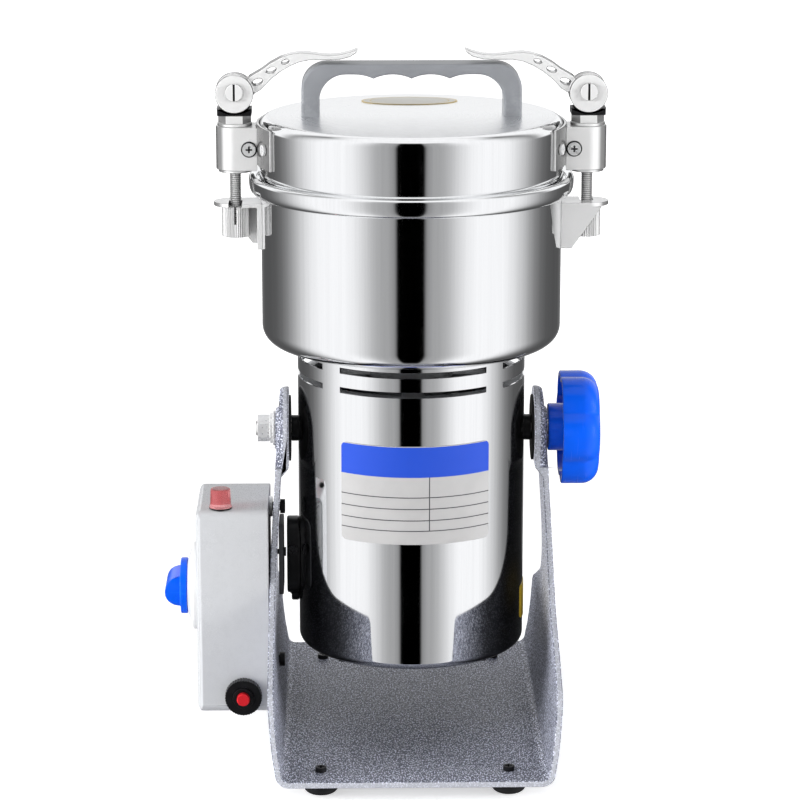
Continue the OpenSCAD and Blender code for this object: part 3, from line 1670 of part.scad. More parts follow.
// An eccentric cam with an arm that lies inwards over the lid, on the right
module lever() {
  top = [for (p = lever_top_shares) [-p[0] * lever_reach, p[1] * cam_r]];
  low = [for (p = lever_low_shares) [-p[0] * lever_reach, p[1] * cam_r]];
  translate([latch_x, 0, pin_z])
    difference() {
      union() {
        translate([0, cam_w / 2, -cam_offset])
          rotate([90, 0, 0]) cylinder(r = cam_r, h = cam_w);
        translate([0, lever_w / 2, 0])
          rotate([90, 0, 0]) linear_extrude(height = lever_w) polygon(concat([[0, 0]], top, low));
      }
      translate([0, cam_w, 0]) rotate([90, 0, 0]) cylinder(r = pin_r + fit, h = 2 * cam_w);
      translate([0, fork_w / 2, 0]) rotate([90, 0, 0]) cylinder(r = fork_r, h = fork_w);
      for (p = lever_hole_shares)
        translate([-p[0] * lever_reach, lever_w, p[1] * cam_r])
          rotate([90, 0, 0]) linear_extrude(height = 2 * lever_w)
            rotate(-20) oval(p[2] * cam_r, lever_hole_stretch_share);
    }
}

module right_lever() {
  color("#dcdee1") lever();
}

module left_lever() {
  color("#dcdee1") rotate([0, 0, 180]) lever();
}

frame_bracket();
rubber_feet();
foot_screws();
friction_discs();
control_box();
box_back_plate();
box_screws();
dial_plate();
timer_switch();
timer_dial();
pilot_lamp_lens();
pilot_lamp_base();
breaker_body();
breaker_nut();
reset_button();
cable_gland();
terminal_block();
lead_plate();
lead_cover();
lock_knob();
motor_housing();
bottom_cover();
housing_screws();
bowl();
latch_ledges();
nameplate();
side_label();
pivot_studs();
pivot_fasteners();
pivot_spacers();
stator_core();
field_coils();
end_brackets();
bearings();
brush_holders();
carbon_brushes();
shaft_seal();
motor_shaft();
rotor_core();
rotor_windings();
commutator();
cooling_fan();
lower_blade();
upper_blade();
blade_clamp();
lid_shell();
lid_seal();
lid_label();
lid_handle();
lid_screws();
latch_saddles();
latch_barrels();
latch_nuts();
cam_seats();
left_rod();
right_rod();
left_knurled_nut();
right_knurled_nut();
left_lever();
right_lever();
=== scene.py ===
"""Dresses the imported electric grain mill: smooth pieces, finishes, a plain studio and a camera."""

import json
import math

import bmesh
import bpy
from mathutils import Matrix, Vector


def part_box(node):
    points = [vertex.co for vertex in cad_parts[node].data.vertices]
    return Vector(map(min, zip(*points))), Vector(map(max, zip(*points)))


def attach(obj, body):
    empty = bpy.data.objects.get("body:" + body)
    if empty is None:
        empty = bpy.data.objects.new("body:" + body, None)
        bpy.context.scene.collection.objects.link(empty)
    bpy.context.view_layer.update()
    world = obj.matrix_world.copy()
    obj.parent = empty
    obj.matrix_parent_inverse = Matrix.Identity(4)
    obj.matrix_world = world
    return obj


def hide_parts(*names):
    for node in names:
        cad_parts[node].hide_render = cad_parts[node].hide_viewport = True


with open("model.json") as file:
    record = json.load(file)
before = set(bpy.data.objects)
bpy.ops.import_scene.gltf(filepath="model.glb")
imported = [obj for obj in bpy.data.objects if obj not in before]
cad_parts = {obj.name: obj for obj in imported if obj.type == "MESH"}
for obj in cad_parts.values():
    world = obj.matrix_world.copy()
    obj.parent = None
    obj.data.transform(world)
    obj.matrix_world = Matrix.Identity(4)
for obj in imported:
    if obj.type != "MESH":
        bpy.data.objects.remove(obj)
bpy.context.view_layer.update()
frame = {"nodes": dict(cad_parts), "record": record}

bl_info = {
    "name": "Electric Grain Mill",
    "version": (1, 0, 0),
    "blender": (4, 5, 0),
    "location": "View3D > Sidebar > Grain Mill",
    "description": "Builds the shown pieces, the finishes and the studio of a tilting grain mill",
    "category": "Object",
}

MM = 0.001
RING_STEPS = 192
WELD = 2e-6
FINISH = "_finish"
FLAT_ANGLE = math.radians(0.6)
CREASE_ANGLE = math.radians(32)

BODY_OF = {
    node: body
    for body, nodes in frame["record"]["behaviour"]["bodies"].items()
    for node in nodes
}
SLOT_OF = {part["node"]: part["material_slot"] for part in frame["record"]["subparts"]}

BOWL_LOW, BOWL_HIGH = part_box("bowl")
LID_LOW, LID_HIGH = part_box("lid_shell")
HOUSING_LOW, HOUSING_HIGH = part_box("motor_housing")
HANDLE_LOW, HANDLE_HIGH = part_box("lid_handle")
LAMP_LOW, LAMP_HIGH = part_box("pilot_lamp_lens")
SEAL_LOW, SEAL_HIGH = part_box("lid_seal")
DIAL_LOW, DIAL_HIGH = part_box("timer_dial")
PLATE_LOW, PLATE_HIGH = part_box("nameplate")
BARREL_LOW, BARREL_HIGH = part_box("latch_barrels")
PIVOT_HEIGHT = sum(corner.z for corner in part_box("pivot_studs")) / 2

BLACK = (0.0, 0.0, 0.0)
WHITE = (1.0, 1.0, 1.0)

# Name, place in metres, width in metres and watts of each lamp
LAMPS = (
    ("Front lamp", (-0.6, -2.7, 0.9), 1.6, 15.0),
    ("Left lamp", (-2.4, -0.75, 0.55), 1.5, 92.0),
    ("Right lamp", (2.4, -0.75, 0.55), 1.5, 72.0),
)
LAMP_AIM = Vector((0.0, 0.0, 0.2))

# What upright mirrors see of the studio: degrees away from its front, and brightness there
STUDIO_WALLS = (
    (0.0, 0.0), (9.8, 0.0), (12.2, 0.28), (17.0, 0.38), (22.0, 0.40), (27.0, 0.47), (31.0, 0.56),
    (36.0, 0.71), (41.0, 0.83), (46.0, 0.94), (52.0, 1.0), (74.0, 1.0), (82.0, 0.88), (89.0, 0.72),
    (96.0, 0.55), (103.0, 0.37), (110.0, 0.24), (118.0, 0.15), (128.0, 0.10), (142.0, 0.085),
    (156.0, 0.09), (170.0, 0.2),
)
STUDIO_BACK = (0.3, 0.3, 0.31)
STUDIO_CEILING = (1.0, 1.005, 1.015)
STUDIO_GROUND = (0.22, 0.22, 0.23)
STUDIO_TURN = math.radians(1.6)
FILL_LIGHT = (0.30, 0.30, 0.30)

CAMERA_PLACE = (-0.0349, -1.5996, PIVOT_HEIGHT + 0.4131)
CAMERA_AIM = Vector((0.01777, 0.97023, -0.24153))
CAMERA_LENS = 140.30


def metres(name, text, value):
    """A length that a user may change."""
    return bpy.props.FloatProperty(name=name, description=text, default=value, min=0.0, unit="LENGTH")


def colour(name, text, value):
    """A linear colour that a user may change."""
    return bpy.props.FloatVectorProperty(
        name=name, description=text, default=value, size=3, min=0.0, max=1.0, subtype="COLOR"
    )


class MillSizes(bpy.types.PropertyGroup):
    """Sizes of the pieces that the scene makes."""

    bowl_wall: metres("Bowl wall", "Thickness of the bowl's steel", 1.2 * MM)
    bowl_radius: metres("Bowl radius", "Outer radius of the bowl", 78 * MM)
    bowl_corner: metres("Bowl corner", "Radius of the bowl's bottom corner", 9.5 * MM)
    bowl_hole: metres("Bowl hole", "Radius of the shaft's hole in the bowl", 12 * MM)
    crease_height: metres("Crease height", "Height at which the bowl flares", BOWL_HIGH.z - 10.2 * MM)
    bead_height: metres("Bead height", "Height of the middle of the rim's bead", BOWL_HIGH.z - 2.2 * MM)
    bead_radius: metres("Bead radius", "Radius of the rolled bead", 2.2 * MM)
    rim_fullness: bpy.props.FloatProperty(
        name="Rim fullness", description="Squareness of the rim's roll, less is squarer",
        default=0.606, min=0.3, max=1.0,
    )
    lid_wall: metres("Lid wall", "Thickness of the lid's steel", 1.2 * MM)
    lid_corner: metres("Lid corner", "Radius of the lid's upper corner", 5.5 * MM)
    lid_lip: metres("Lid lip", "Width of the lip under the lid", 3.4 * MM)
    housing_wall: metres("Housing wall", "Thickness of the housing's tube", 1.0 * MM)
    housing_corner: metres("Housing corner", "Radius of the housing's bottom corner", 4.5 * MM)
    housing_lip: metres("Housing lip", "Width of the housing's bottom lip", 12 * MM)
    vent_width: metres("Vent width", "Height of a vent slot", 3.2 * MM)
    vent_low: metres("Vent height", "Height of the lower row of vents", HOUSING_HIGH.z - 17.6 * MM)
    vent_pitch: metres("Vent pitch", "Distance between the rows of vents", 10.2 * MM)
    handle_leg: metres("Handle leg", "Width of a leg of the lid's handle", 9.4 * MM)
    handle_bar: metres("Handle bar", "Height of the handle's bar", 5.4 * MM)
    handle_corner: metres("Handle corner", "Outer corner radius of the handle", 13 * MM)
    handle_inner: metres("Handle inner corner", "Inner corner radius of the handle", 13.5 * MM)
    handle_edge: metres("Handle edge", "Rounding of the handle's long edges", 1.6 * MM)
    scallop_pitch: metres("Scallop pitch", "Width of one finger scallop", 19.6 * MM)
    scallop_depth: metres("Scallop depth", "Depth of one finger scallop", 2.2 * MM)
    barrel_screw_in: metres("Barrel screw", "Distance of a barrel's screws from its rod", 7.5 * MM)
    thread_radius: metres("Thread radius", "Outer radius of a latch rod's thread", 3 * MM)
    thread_depth: metres("Thread depth", "Depth of a latch rod's thread", 0.42 * MM)
    thread_pitch: metres("Thread pitch", "Pitch of a latch rod's thread", 1 * MM)
    knob_radius: metres("Knob radius", "Radius of the lock knob over its lobes", 30.5 * MM)
    knob_hub_length: metres("Knob hub length", "Length of the hub behind the head", 6.5 * MM)
    knob_hub_radius: metres("Knob hub radius", "Radius of the knob's hub", 12.5 * MM)
    knob_wall: metres("Knob wall", "Thickness of the knob's wall", 3 * MM)
    knob_dome: metres("Knob dome", "Rounding of the knob's front edge", 9 * MM)
    knob_bore: metres("Knob bore", "Radius of the knob's threaded bore", 5.2 * MM)
    knob_lobing: bpy.props.FloatProperty(
        name="Knob lobing", description="Depth of the valleys between the knob's lobes",
        default=0.62, min=0.0, max=1.0, subtype="FACTOR",
    )
    pivot_height: metres("Pivot height", "Height of the pivots' axis", PIVOT_HEIGHT)
    lamp_round: metres("Lamp rounding", "Rounding of the pilot lamp's top", 1 * MM)
    lamp_flute: metres("Lamp flute", "Depth of the pilot lamp's flutes", 0.22 * MM)


class MillColours(bpy.types.PropertyGroup):
    """Colours of the finishes, in linear values."""

    coat_dark: colour("Coat, dark", "Dark flecks of the hammered coat", (0.10, 0.106, 0.145))
    coat_light: colour("Coat, light", "Light flecks of the hammered coat", (0.76, 0.79, 0.92))
    box_paint: colour("Box paint", "Control box", (0.61, 0.62, 0.64))
    box_fleck: colour("Box fleck", "Flecks of the control box", (0.56, 0.57, 0.59))
    steel: colour("Steel", "Polished steel", (0.94, 0.945, 0.95))
    blue: colour("Blue", "Knob and timer dial", (0.001, 0.115, 0.92))
    red: colour("Red", "Pilot lamp and reset button", (0.62, 0.010, 0.018))
    handle: colour("Handle", "Handle of the lid", (0.265, 0.275, 0.295))
    label_blue: colour("Label blue", "Band of the nameplate", (0.012, 0.070, 0.56))
    label_field: colour("Label field", "Field of the nameplate", (0.49, 0.485, 0.485))
    label_rule: colour("Label rule", "Rules of the nameplate", (0.06, 0.06, 0.065))
    cream: colour("Cream", "Label of the lid", (0.80, 0.78, 0.71))
    gold: colour("Gold", "Edge of the lid's label", (0.66, 0.52, 0.26))
    yellow: colour("Yellow", "Label on the housing's side", (0.80, 0.52, 0.02))
    floor: colour("Floor", "Studio floor", (0.86, 0.86, 0.86))


# Node trees


def add(tree, kind, values=None, **settings):
    """Add a node; values fill or link its sockets by name or number."""
    made = tree.nodes.new(kind)
    for name, value in settings.items():
        setattr(made, name, value)
    for socket, value in (values or {}).items():
        if isinstance(value, bpy.types.NodeSocket):
            tree.links.new(value, made.inputs[socket])
        else:
            made.inputs[socket].default_value = value
    return made


def calc(tree, operation, first, second=0.0, third=0.0):
    """A Math node's result."""
    return add(tree, "ShaderNodeMath", {0: first, 1: second, 2: third}, operation=operation).outputs[0]


def times(tree, first, second):
    """The product of two numbers."""
    return calc(tree, "MULTIPLY", first, second)


def between(tree, value, low, high):
    """One where a value lies between two limits, else zero."""
    return times(tree, calc(tree, "GREATER_THAN", value, low), calc(tree, "LESS_THAN", value, high))


def remap(tree, value, low, high, out_low=0.0, out_high=1.0, smooth=True):
    """A Map Range node's result, held inside its range."""
    kind = "SMOOTHSTEP" if smooth else "LINEAR"
    values = {"Value": value, 1: low, 2: high, 3: out_low, 4: out_high}
    return add(tree, "ShaderNodeMapRange", values, interpolation_type=kind).outputs["Result"]


def blend_colour(tree, factor, first, second):
    """Mix two colours, each a socket or three numbers."""
    ends = [end if isinstance(end, bpy.types.NodeSocket) else (*end, 1.0) for end in (first, second)]
    return add(tree, "ShaderNodeMix", {0: factor, 6: ends[0], 7: ends[1]}, data_type="RGBA").outputs[2]


def blend_value(tree, factor, first, second):
    """Mix two numbers."""
    return add(tree, "ShaderNodeMix", {0: factor, 2: first, 3: second}).outputs[0]


def stretched(tree, vector, scales):
    """The vector, scaled along each axis."""
    return add(tree, "ShaderNodeMapping", {"Vector": vector, "Scale": scales}).outputs[0]


def seen_from(tree, vector, centre):
    """The vector, measured from a centre."""
    return add(tree, "ShaderNodeVectorMath", {0: vector, 1: centre}, operation="SUBTRACT").outputs[0]


def length_of(tree, vector):
    """A vector's length."""
    return add(tree, "ShaderNodeVectorMath", {0: vector}, operation="LENGTH").outputs["Value"]


def split(tree, vector):
    """A vector's parts, as X, Y and Z."""
    return add(tree, "ShaderNodeSeparateXYZ", {0: vector}).outputs


def facing_parts(tree):
    """The parts of the surface's normal."""
    return split(tree, add(tree, "ShaderNodeNewGeometry").outputs["Normal"])


def noise(tree, vector, scale, detail=2.0, rough=0.5, bent=0.0):
    """A Noise Texture's value."""
    values = {"Vector": vector, "Scale": scale, "Detail": detail, "Roughness": rough, "Distortion": bent}
    return add(tree, "ShaderNodeTexNoise", values).outputs[0]


def toned_down(tint, share):
    """A colour, darkened to a share of itself."""
    return tuple(channel * share for channel in tint)


def fleck_parts(tree, vector, scale):
    """Small flecks of a hammered or spattered coat."""
    fine = noise(tree, vector, scale, 2.5, 0.62)
    cells = add(tree, "ShaderNodeTexVoronoi", {"Vector": vector, "Scale": times(tree, scale, 0.72)})
    pits = calc(tree, "MULTIPLY_ADD", cells.outputs["Distance"], -0.34, fine)
    return {"Fleck": remap(tree, pits, 0.336, 0.436), "Height": pits}


def grain_parts(tree, vector, scale):
    """Long fine streaks, as on drawn or brushed sheet."""
    streak = noise(tree, vector, scale, 4.0, 0.7)
    fine = noise(tree, vector, times(tree, scale, 4.0), 2.0, 0.6)
    return {"Streak": remap(tree, streak, 0.3, 0.7), "Fine": fine}


def mark_parts(tree, vector, scale):
    """Smudges and hair scratches of a thing in use."""
    smudge = noise(tree, vector, scale, 5.0, 0.62, 0.4)
    slanted = add(tree, "ShaderNodeMapping", {
        "Vector": vector, "Rotation": (0.6, 0.35, 0.9), "Scale": (2200.0, 60.0, 90.0),
    })
    hair = noise(tree, slanted.outputs[0], 1.0, bent=0.3)
    return {"Smudge": remap(tree, smudge, 0.35, 0.75), "Scratch": remap(tree, hair, 0.66, 0.74)}


def edge_wear_and_highlight_parts(tree, vector, reach):
    """Worn outer edges, broken up by noise; on the frame they also serve as a painted highlight."""
    sharp = add(tree, "ShaderNodeNewGeometry").outputs["Pointiness"]
    start = 0.515
    edge = remap(tree, sharp, start, calc(tree, "ADD", reach, start))
    patch = noise(tree, vector, 160.0, 4.0, 0.7)
    return {"Wear": times(tree, edge, remap(tree, patch, 0.38, 0.62))}


def moulded_parts(tree, vector, scale):
    """The fine matt texture of moulded plastic and rubber."""
    cloud = noise(tree, vector, 55.0, 4.0, 0.6)
    return {"Height": noise(tree, vector, scale, 2.0, 0.55), "Cloud": remap(tree, cloud, 0.3, 0.7)}


def make_groups():
    """The shared node groups: each takes a vector and one amount."""
    for name, amount, default, parts in (
        ("Flecked Coat", "Scale", 1200.0, fleck_parts),
        ("Drawn Grain", "Scale", 500.0, grain_parts),
        ("Handling Marks", "Scale", 18.0, mark_parts),
        ("Edge Wear", "Reach", 0.04, edge_wear_and_highlight_parts),
        ("Moulded Grain", "Scale", 2600.0, moulded_parts),
    ):
        tree = bpy.data.node_groups.new(name, "ShaderNodeTree")
        sockets = tree.interface
        sockets.new_socket(name="Vector", in_out="INPUT", socket_type="NodeSocketVector")
        given = sockets.new_socket(name=amount, in_out="INPUT", socket_type="NodeSocketFloat")
        given.default_value = default
        start, end = add(tree, "NodeGroupInput"), add(tree, "NodeGroupOutput")
        for label, value in parts(tree, start.outputs["Vector"], start.outputs[amount]).items():
            sockets.new_socket(name=label, in_out="OUTPUT", socket_type="NodeSocketFloat")
            tree.links.new(value, end.inputs[label])


def place_group(tree, name, values):
    """Put one of the shared groups into a material."""
    return add(tree, "ShaderNodeGroup", values, node_tree=bpy.data.node_groups[name]).outputs


def start_material(name, constants=None):
    """A material's node tree, its shader with the constants on its sockets, and object coordinates."""
    made = bpy.data.materials.new(name + FINISH)
    made.use_nodes = True
    tree = made.node_tree
    tree.nodes.clear()
    shader = add(tree, "ShaderNodeBsdfPrincipled", constants)
    add(tree, "ShaderNodeOutputMaterial", {"Surface": shader.outputs[0]})
    return tree, shader, add(tree, "ShaderNodeTexCoord").outputs["Object"]


def set_bump(tree, shader, height, depth, strength=1.0):
    """Feed a height into the shader's normal."""
    bump = add(tree, "ShaderNodeBump", {"Height": height, "Distance": depth, "Strength": strength})
    tree.links.new(bump.outputs[0], shader.inputs["Normal"])


def link(tree, value, shader, socket):
    """Feed a value into a shader's socket."""
    tree.links.new(value, shader.inputs[socket])


# Finishes


def paint_finish(name, dark, light, scale, rough, depth, wear_and_highlight_colour, on_frame=False):
    """A flecked coat of paint, paler at its edges: wear, and on the frame also a painted highlight."""
    tree, shader, coords = start_material(name, {"Specular IOR Level": 0.4})
    coat = place_group(tree, "Flecked Coat", {
        "Vector": stretched(tree, coords, (1.0, 0.5, 1.0)), "Scale": scale,
    })
    wear = place_group(tree, "Edge Wear", {"Vector": coords, "Reach": 0.05})
    marks = place_group(tree, "Handling Marks", {"Vector": coords, "Scale": 14.0})
    flecked = blend_colour(tree, coat["Fleck"], dark, light)
    # Paler sharp edges: wear, and on the frame also a painted highlight along the sheet's edges.
    tint = blend_colour(tree, times(tree, wear["Wear"], 0.6), flecked, wear_and_highlight_colour)
    # On the frame the colour also gets painted light, a painted highlight and a painted reflection.
    if on_frame:
        tint = paint_frame_light_and_shade(tree, shader, coords, tint)
    link(tree, tint, shader, "Base Color")
    smudged = calc(tree, "MULTIPLY_ADD", marks["Smudge"], 0.03, rough)
    link(tree, calc(tree, "MULTIPLY_ADD", coat["Fleck"], -0.06, smudged), shader, "Roughness")
    set_bump(tree, shader, coat["Height"], depth, 0.55)


def paint_frame_light_and_shade(tree, shader, coords, tint):
    """Painted light and shade on the frame, in its paint's colour.

    Painted light: the ears' inner faces glow, in place of light that the polished housing throws
    on them. The sheet's cut edges are smooth and pale: partly the smooth cut, partly a painted
    highlight. Painted reflection: mirrors show the ears dark, and darkest behind their front corners.
    """
    parts, facing = split(tree, coords), facing_parts(tree)
    across = calc(tree, "ABSOLUTE", parts["X"])
    mirrored = add(tree, "ShaderNodeLightPath").outputs["Is Glossy Ray"]

    # Painted light: a glow on the ears' upper inner faces, in place of light from the polished housing;
    # mirrors don't see it.
    inward = remap(tree, times(tree, calc(tree, "SIGN", parts["X"]), facing["X"]), -0.7, -0.95)
    on_ear = remap(tree, across, 60 * MM, 64 * MM)
    raised = remap(tree, parts["Z"], 50 * MM, 90 * MM)
    painted_light_mask = times(tree, times(tree, inward, on_ear), raised)
    painted_light_mask = times(tree, painted_light_mask, calc(tree, "SUBTRACT", 1.0, mirrored))
    painted_housing_light, paint_share = (0.36, 0.365, 0.39), 0.35
    glow = blend_colour(tree, paint_share, painted_housing_light, tint)
    link(tree, blend_colour(tree, painted_light_mask, BLACK, glow), shader, "Emission Color")
    shader.inputs["Emission Strength"].default_value = 0.95

    # The cut edges turn pale and smooth: partly the smooth cut sheet, partly a painted highlight where
    # they face the light.
    front = remap(tree, calc(tree, "ABSOLUTE", facing["Y"]), 0.55, 0.85)
    above_floor = remap(tree, parts["Z"], 30 * MM, 36 * MM)
    along_ear = remap(tree, calc(tree, "ABSOLUTE", facing["X"]), 0.45, 0.15, 0.0, 0.7)
    smooth_cut_and_highlight = times(tree, calc(tree, "MAXIMUM", front, above_floor), along_ear)
    pale_cut_and_highlight = (0.56, 0.575, 0.63)
    tint = blend_colour(tree, smooth_cut_and_highlight, tint, pale_cut_and_highlight)

    # Painted reflection: mirrors see the ears' paint dark, darkest behind their front corners.
    aside = remap(tree, across, 34 * MM, 60 * MM)
    deep = remap(tree, parts["Y"], -105 * MM, -45 * MM, 0.3, 0.95)
    return blend_colour(tree, times(tree, times(tree, mirrored, aside), deep), tint, BLACK)


def steel_finish(name, tint, low, high, stretch, scale=520.0, depth=4e-6, metal=1.0, marked=1.0,
                 shade=0.955):
    """Bare steel: drawn grain, smudges and hair scratches in its roughness."""
    tree, shader, coords = start_material(name, {"Metallic": metal})
    along = stretched(tree, coords, stretch)
    grain = place_group(tree, "Drawn Grain", {"Vector": along, "Scale": scale})
    marks = place_group(tree, "Handling Marks", {"Vector": coords, "Scale": 22.0})
    rough = remap(tree, grain["Streak"], 0.0, 1.0, low, high, smooth=False)
    smudged = calc(tree, "MULTIPLY_ADD", marks["Smudge"], 0.022 * marked, rough)
    link(tree, calc(tree, "MULTIPLY_ADD", marks["Scratch"], 0.05 * marked, smudged), shader, "Roughness")
    toned = blend_colour(tree, grain["Streak"], toned_down(tint, shade), tint)
    link(tree, toned, shader, "Base Color")
    set_bump(tree, shader, grain["Fine"], depth, 0.4)
    return tree, shader, coords, toned


def satin_finish(name, tint):
    """Satin steel with painted shade: the dark outline of a small bright piece; its tops stay bright."""
    tree, shader, _, toned = steel_finish(
        name, tint, 0.17, 0.21, (1.0, 1.0, 0.25), 1800.0, 1e-6, metal=0.25, marked=0.3, shade=0.98
    )
    # Painted shade: the colour darkens where the surface turns away from view, as a small round piece
    # does under frontal light.
    away = add(tree, "ShaderNodeLayerWeight", {"Blend": 0.5}).outputs["Facing"]
    turning_shade = remap(tree, away, 0.08, 0.36, 0.0, 0.76)
    rim = remap(tree, away, 0.45, 0.95, 0.0, 0.18)
    below_top = remap(tree, facing_parts(tree)["Z"], 0.97, 0.90)
    dark = times(tree, calc(tree, "ADD", turning_shade, rim), below_top)
    link(tree, blend_colour(tree, dark, toned, BLACK), shader, "Base Color")


def lid_finish(name, tint, top_height):
    """Polished sides, and a flat top with a satin spun grain."""
    tree, shader, coords, _ = steel_finish(name, tint, 0.035, 0.065, (1.0, 1.0, 0.01))
    on_top = remap(tree, split(tree, coords)["Z"], top_height - 0.55 * MM, top_height - 0.12 * MM)
    polished = shader.inputs["Roughness"].links[0].from_socket
    radius = length_of(tree, stretched(tree, coords, (1.0, 1.0, 0.0)))
    rings = add(tree, "ShaderNodeTexNoise", {"W": times(tree, radius, 1600.0), "Scale": 1.0},
                noise_dimensions="1D").outputs[0]
    satin = remap(tree, rings, 0.3, 0.7, 0.26, 0.36)
    link(tree, blend_value(tree, on_top, polished, satin), shader, "Roughness")


def zinc_finish(name, tint, low, high, scale, metal=1.0):
    """Zinc plate: faint crystal patches over a soft metal gloss."""
    tree, shader, coords = start_material(name, {"Metallic": metal})
    patches = add(tree, "ShaderNodeTexVoronoi", {"Vector": coords, "Scale": scale})
    marks = place_group(tree, "Handling Marks", {"Vector": coords, "Scale": 40.0})
    tone = add(tree, "ShaderNodeSeparateColor", {0: patches.outputs["Color"]}).outputs[0]
    link(tree, blend_colour(tree, tone, toned_down(tint, 0.9), tint), shader, "Base Color")
    rough = remap(tree, tone, 0.0, 1.0, low, high, smooth=False)
    link(tree, calc(tree, "MULTIPLY_ADD", marks["Smudge"], 0.08, rough), shader, "Roughness")
    set_bump(tree, shader, marks["Scratch"], 6e-6, 0.3)


def moulded_finish(name, tint, rough, scale=2600.0, depth=8e-6, wear=None, metal=0.0, shine=0.5):
    """Moulded plastic or rubber: fine grain, cloudy gloss and slightly paler edges."""
    tree, shader, coords = start_material(name, {"Metallic": metal, "Specular IOR Level": shine})
    grain = place_group(tree, "Moulded Grain", {"Vector": coords, "Scale": scale})
    edges = place_group(tree, "Edge Wear", {"Vector": coords, "Reach": 0.05})
    marks = place_group(tree, "Handling Marks", {"Vector": coords, "Scale": 30.0})
    pale = wear or tuple(min(1.0, channel * 1.35 + 0.02) for channel in tint)
    clouded = blend_colour(tree, grain["Cloud"], toned_down(tint, 0.9), tint)
    worn = blend_colour(tree, times(tree, edges["Wear"], 0.5), clouded, pale)
    link(tree, worn, shader, "Base Color")
    hazed = calc(tree, "MULTIPLY_ADD", grain["Cloud"], 0.06, rough)
    link(tree, calc(tree, "MULTIPLY_ADD", marks["Scratch"], 0.12, hazed), shader, "Roughness")
    set_bump(tree, shader, grain["Height"], depth, 0.5)
    return tree, shader, coords


def nameplate_finish(name, colours):
    """A printed foil: a plain band over a ruled field, bare of lettering."""
    tree, shader, coords = start_material(name)
    parts = split(tree, coords)
    across, up = parts["X"], parts["Z"]
    band_low, band_top = PLATE_LOW.z + 35.7 * MM, PLATE_HIGH.z - 0.3 * MM
    lowest, column_at, half_rule = PLATE_LOW.z + 7.2 * MM, 8.2 * MM, 0.26 * MM
    column = between(tree, across, column_at - half_rule, column_at + half_rule)
    rules = times(tree, column, between(tree, up, lowest, band_low))
    for rise in (0.0, 5.6, 11.7, 17.8):
        height = lowest + rise * MM
        rule = between(tree, up, height - half_rule, height + half_rule)
        rules = calc(tree, "MAXIMUM", rules, rule)
    grain = place_group(tree, "Moulded Grain", {"Vector": coords, "Scale": 1800.0})
    field = blend_colour(tree, grain["Cloud"], toned_down(colours.label_field, 0.93), colours.label_field)
    band = between(tree, up, band_low, band_top)
    banded = blend_colour(tree, band, field, colours.label_blue)
    link(tree, blend_colour(tree, rules, banded, colours.label_rule), shader, "Base Color")
    link(tree, calc(tree, "MULTIPLY_ADD", grain["Cloud"], 0.08, 0.34), shader, "Roughness")
    set_bump(tree, shader, grain["Height"], 3e-6, 0.4)


def lid_label_finish(name, colours):
    """A cream oval with a gold edge and a thin gold line inside it."""
    tree, shader, coords = start_material(name)
    low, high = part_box("lid_label")
    half = (high - low) / 2
    flat = stretched(tree, seen_from(tree, coords, (low + high) / 2), (1.0 / half.x, 1.0 / half.y, 0.0))
    share = length_of(tree, flat)
    edge = remap(tree, share, 0.945, 0.965)
    line = times(tree, remap(tree, share, 0.80, 0.81), remap(tree, share, 0.84, 0.83))
    grain = place_group(tree, "Moulded Grain", {"Vector": coords, "Scale": 1400.0})
    field = blend_colour(tree, grain["Cloud"], toned_down(colours.cream, 0.95), colours.cream)
    gilt = calc(tree, "MAXIMUM", edge, line)
    link(tree, blend_colour(tree, gilt, field, colours.gold), shader, "Base Color")
    link(tree, times(tree, gilt, 0.85), shader, "Metallic")
    link(tree, calc(tree, "MULTIPLY_ADD", grain["Cloud"], 0.08, 0.3), shader, "Roughness")
    set_bump(tree, shader, grain["Height"], 3e-6, 0.4)


def dial_plate_finish(name):
    """White moulding with a ring of printed minute marks."""
    tree, shader, coords = moulded_finish(name, (0.86, 0.865, 0.87), 0.28)
    centre = (DIAL_LOW.x + 12.1 * MM, 0.0, (DIAL_LOW.z + DIAL_HIGH.z) / 2)
    moved = seen_from(tree, coords, centre)
    parts = split(tree, moved)
    angle = calc(tree, "ARCTAN2", parts["Y"], parts["Z"])
    radius = length_of(tree, stretched(tree, moved, (0.0, 1.0, 1.0)))
    marks = 0.0
    for turns, width, inner, outer in ((6, 0.035, 17.0, 20.6), (30, 0.5, 18.6, 20.6)):
        wave = calc(tree, "ABSOLUTE", calc(tree, "SINE", times(tree, angle, turns)))
        thin = calc(tree, "LESS_THAN", wave, width)
        ring = between(tree, radius, inner * MM, outer * MM)
        marks = calc(tree, "MAXIMUM", marks, times(tree, thin, ring))
    on_face = calc(tree, "LESS_THAN", parts["X"], 0.6 * MM)
    plain = shader.inputs["Base Color"].links[0].from_socket
    printed = blend_colour(tree, times(tree, marks, on_face), plain, (0.02, 0.02, 0.024))
    link(tree, printed, shader, "Base Color")


def lens_finish(name, tint):
    """Clear red plastic, glossy, with a painted glow: paler cloudy patches in place of light from inside.
    """
    tree, shader, coords = start_material(name, {"Transmission Weight": 0.8, "IOR": 1.45})
    grain = place_group(tree, "Moulded Grain", {"Vector": coords, "Scale": 900.0})
    clear = tuple(min(1.0, channel * 1.2 + 0.16) for channel in tint)
    bright = tuple(min(1.0, channel * 1.3 + 0.24) for channel in tint)
    # Painted glow: the cloud mixes in a paler red as if lit from inside.
    link(tree, blend_colour(tree, grain["Cloud"], clear, bright), shader, "Base Color")
    link(tree, calc(tree, "MULTIPLY_ADD", grain["Cloud"], 0.04, 0.04), shader, "Roughness")


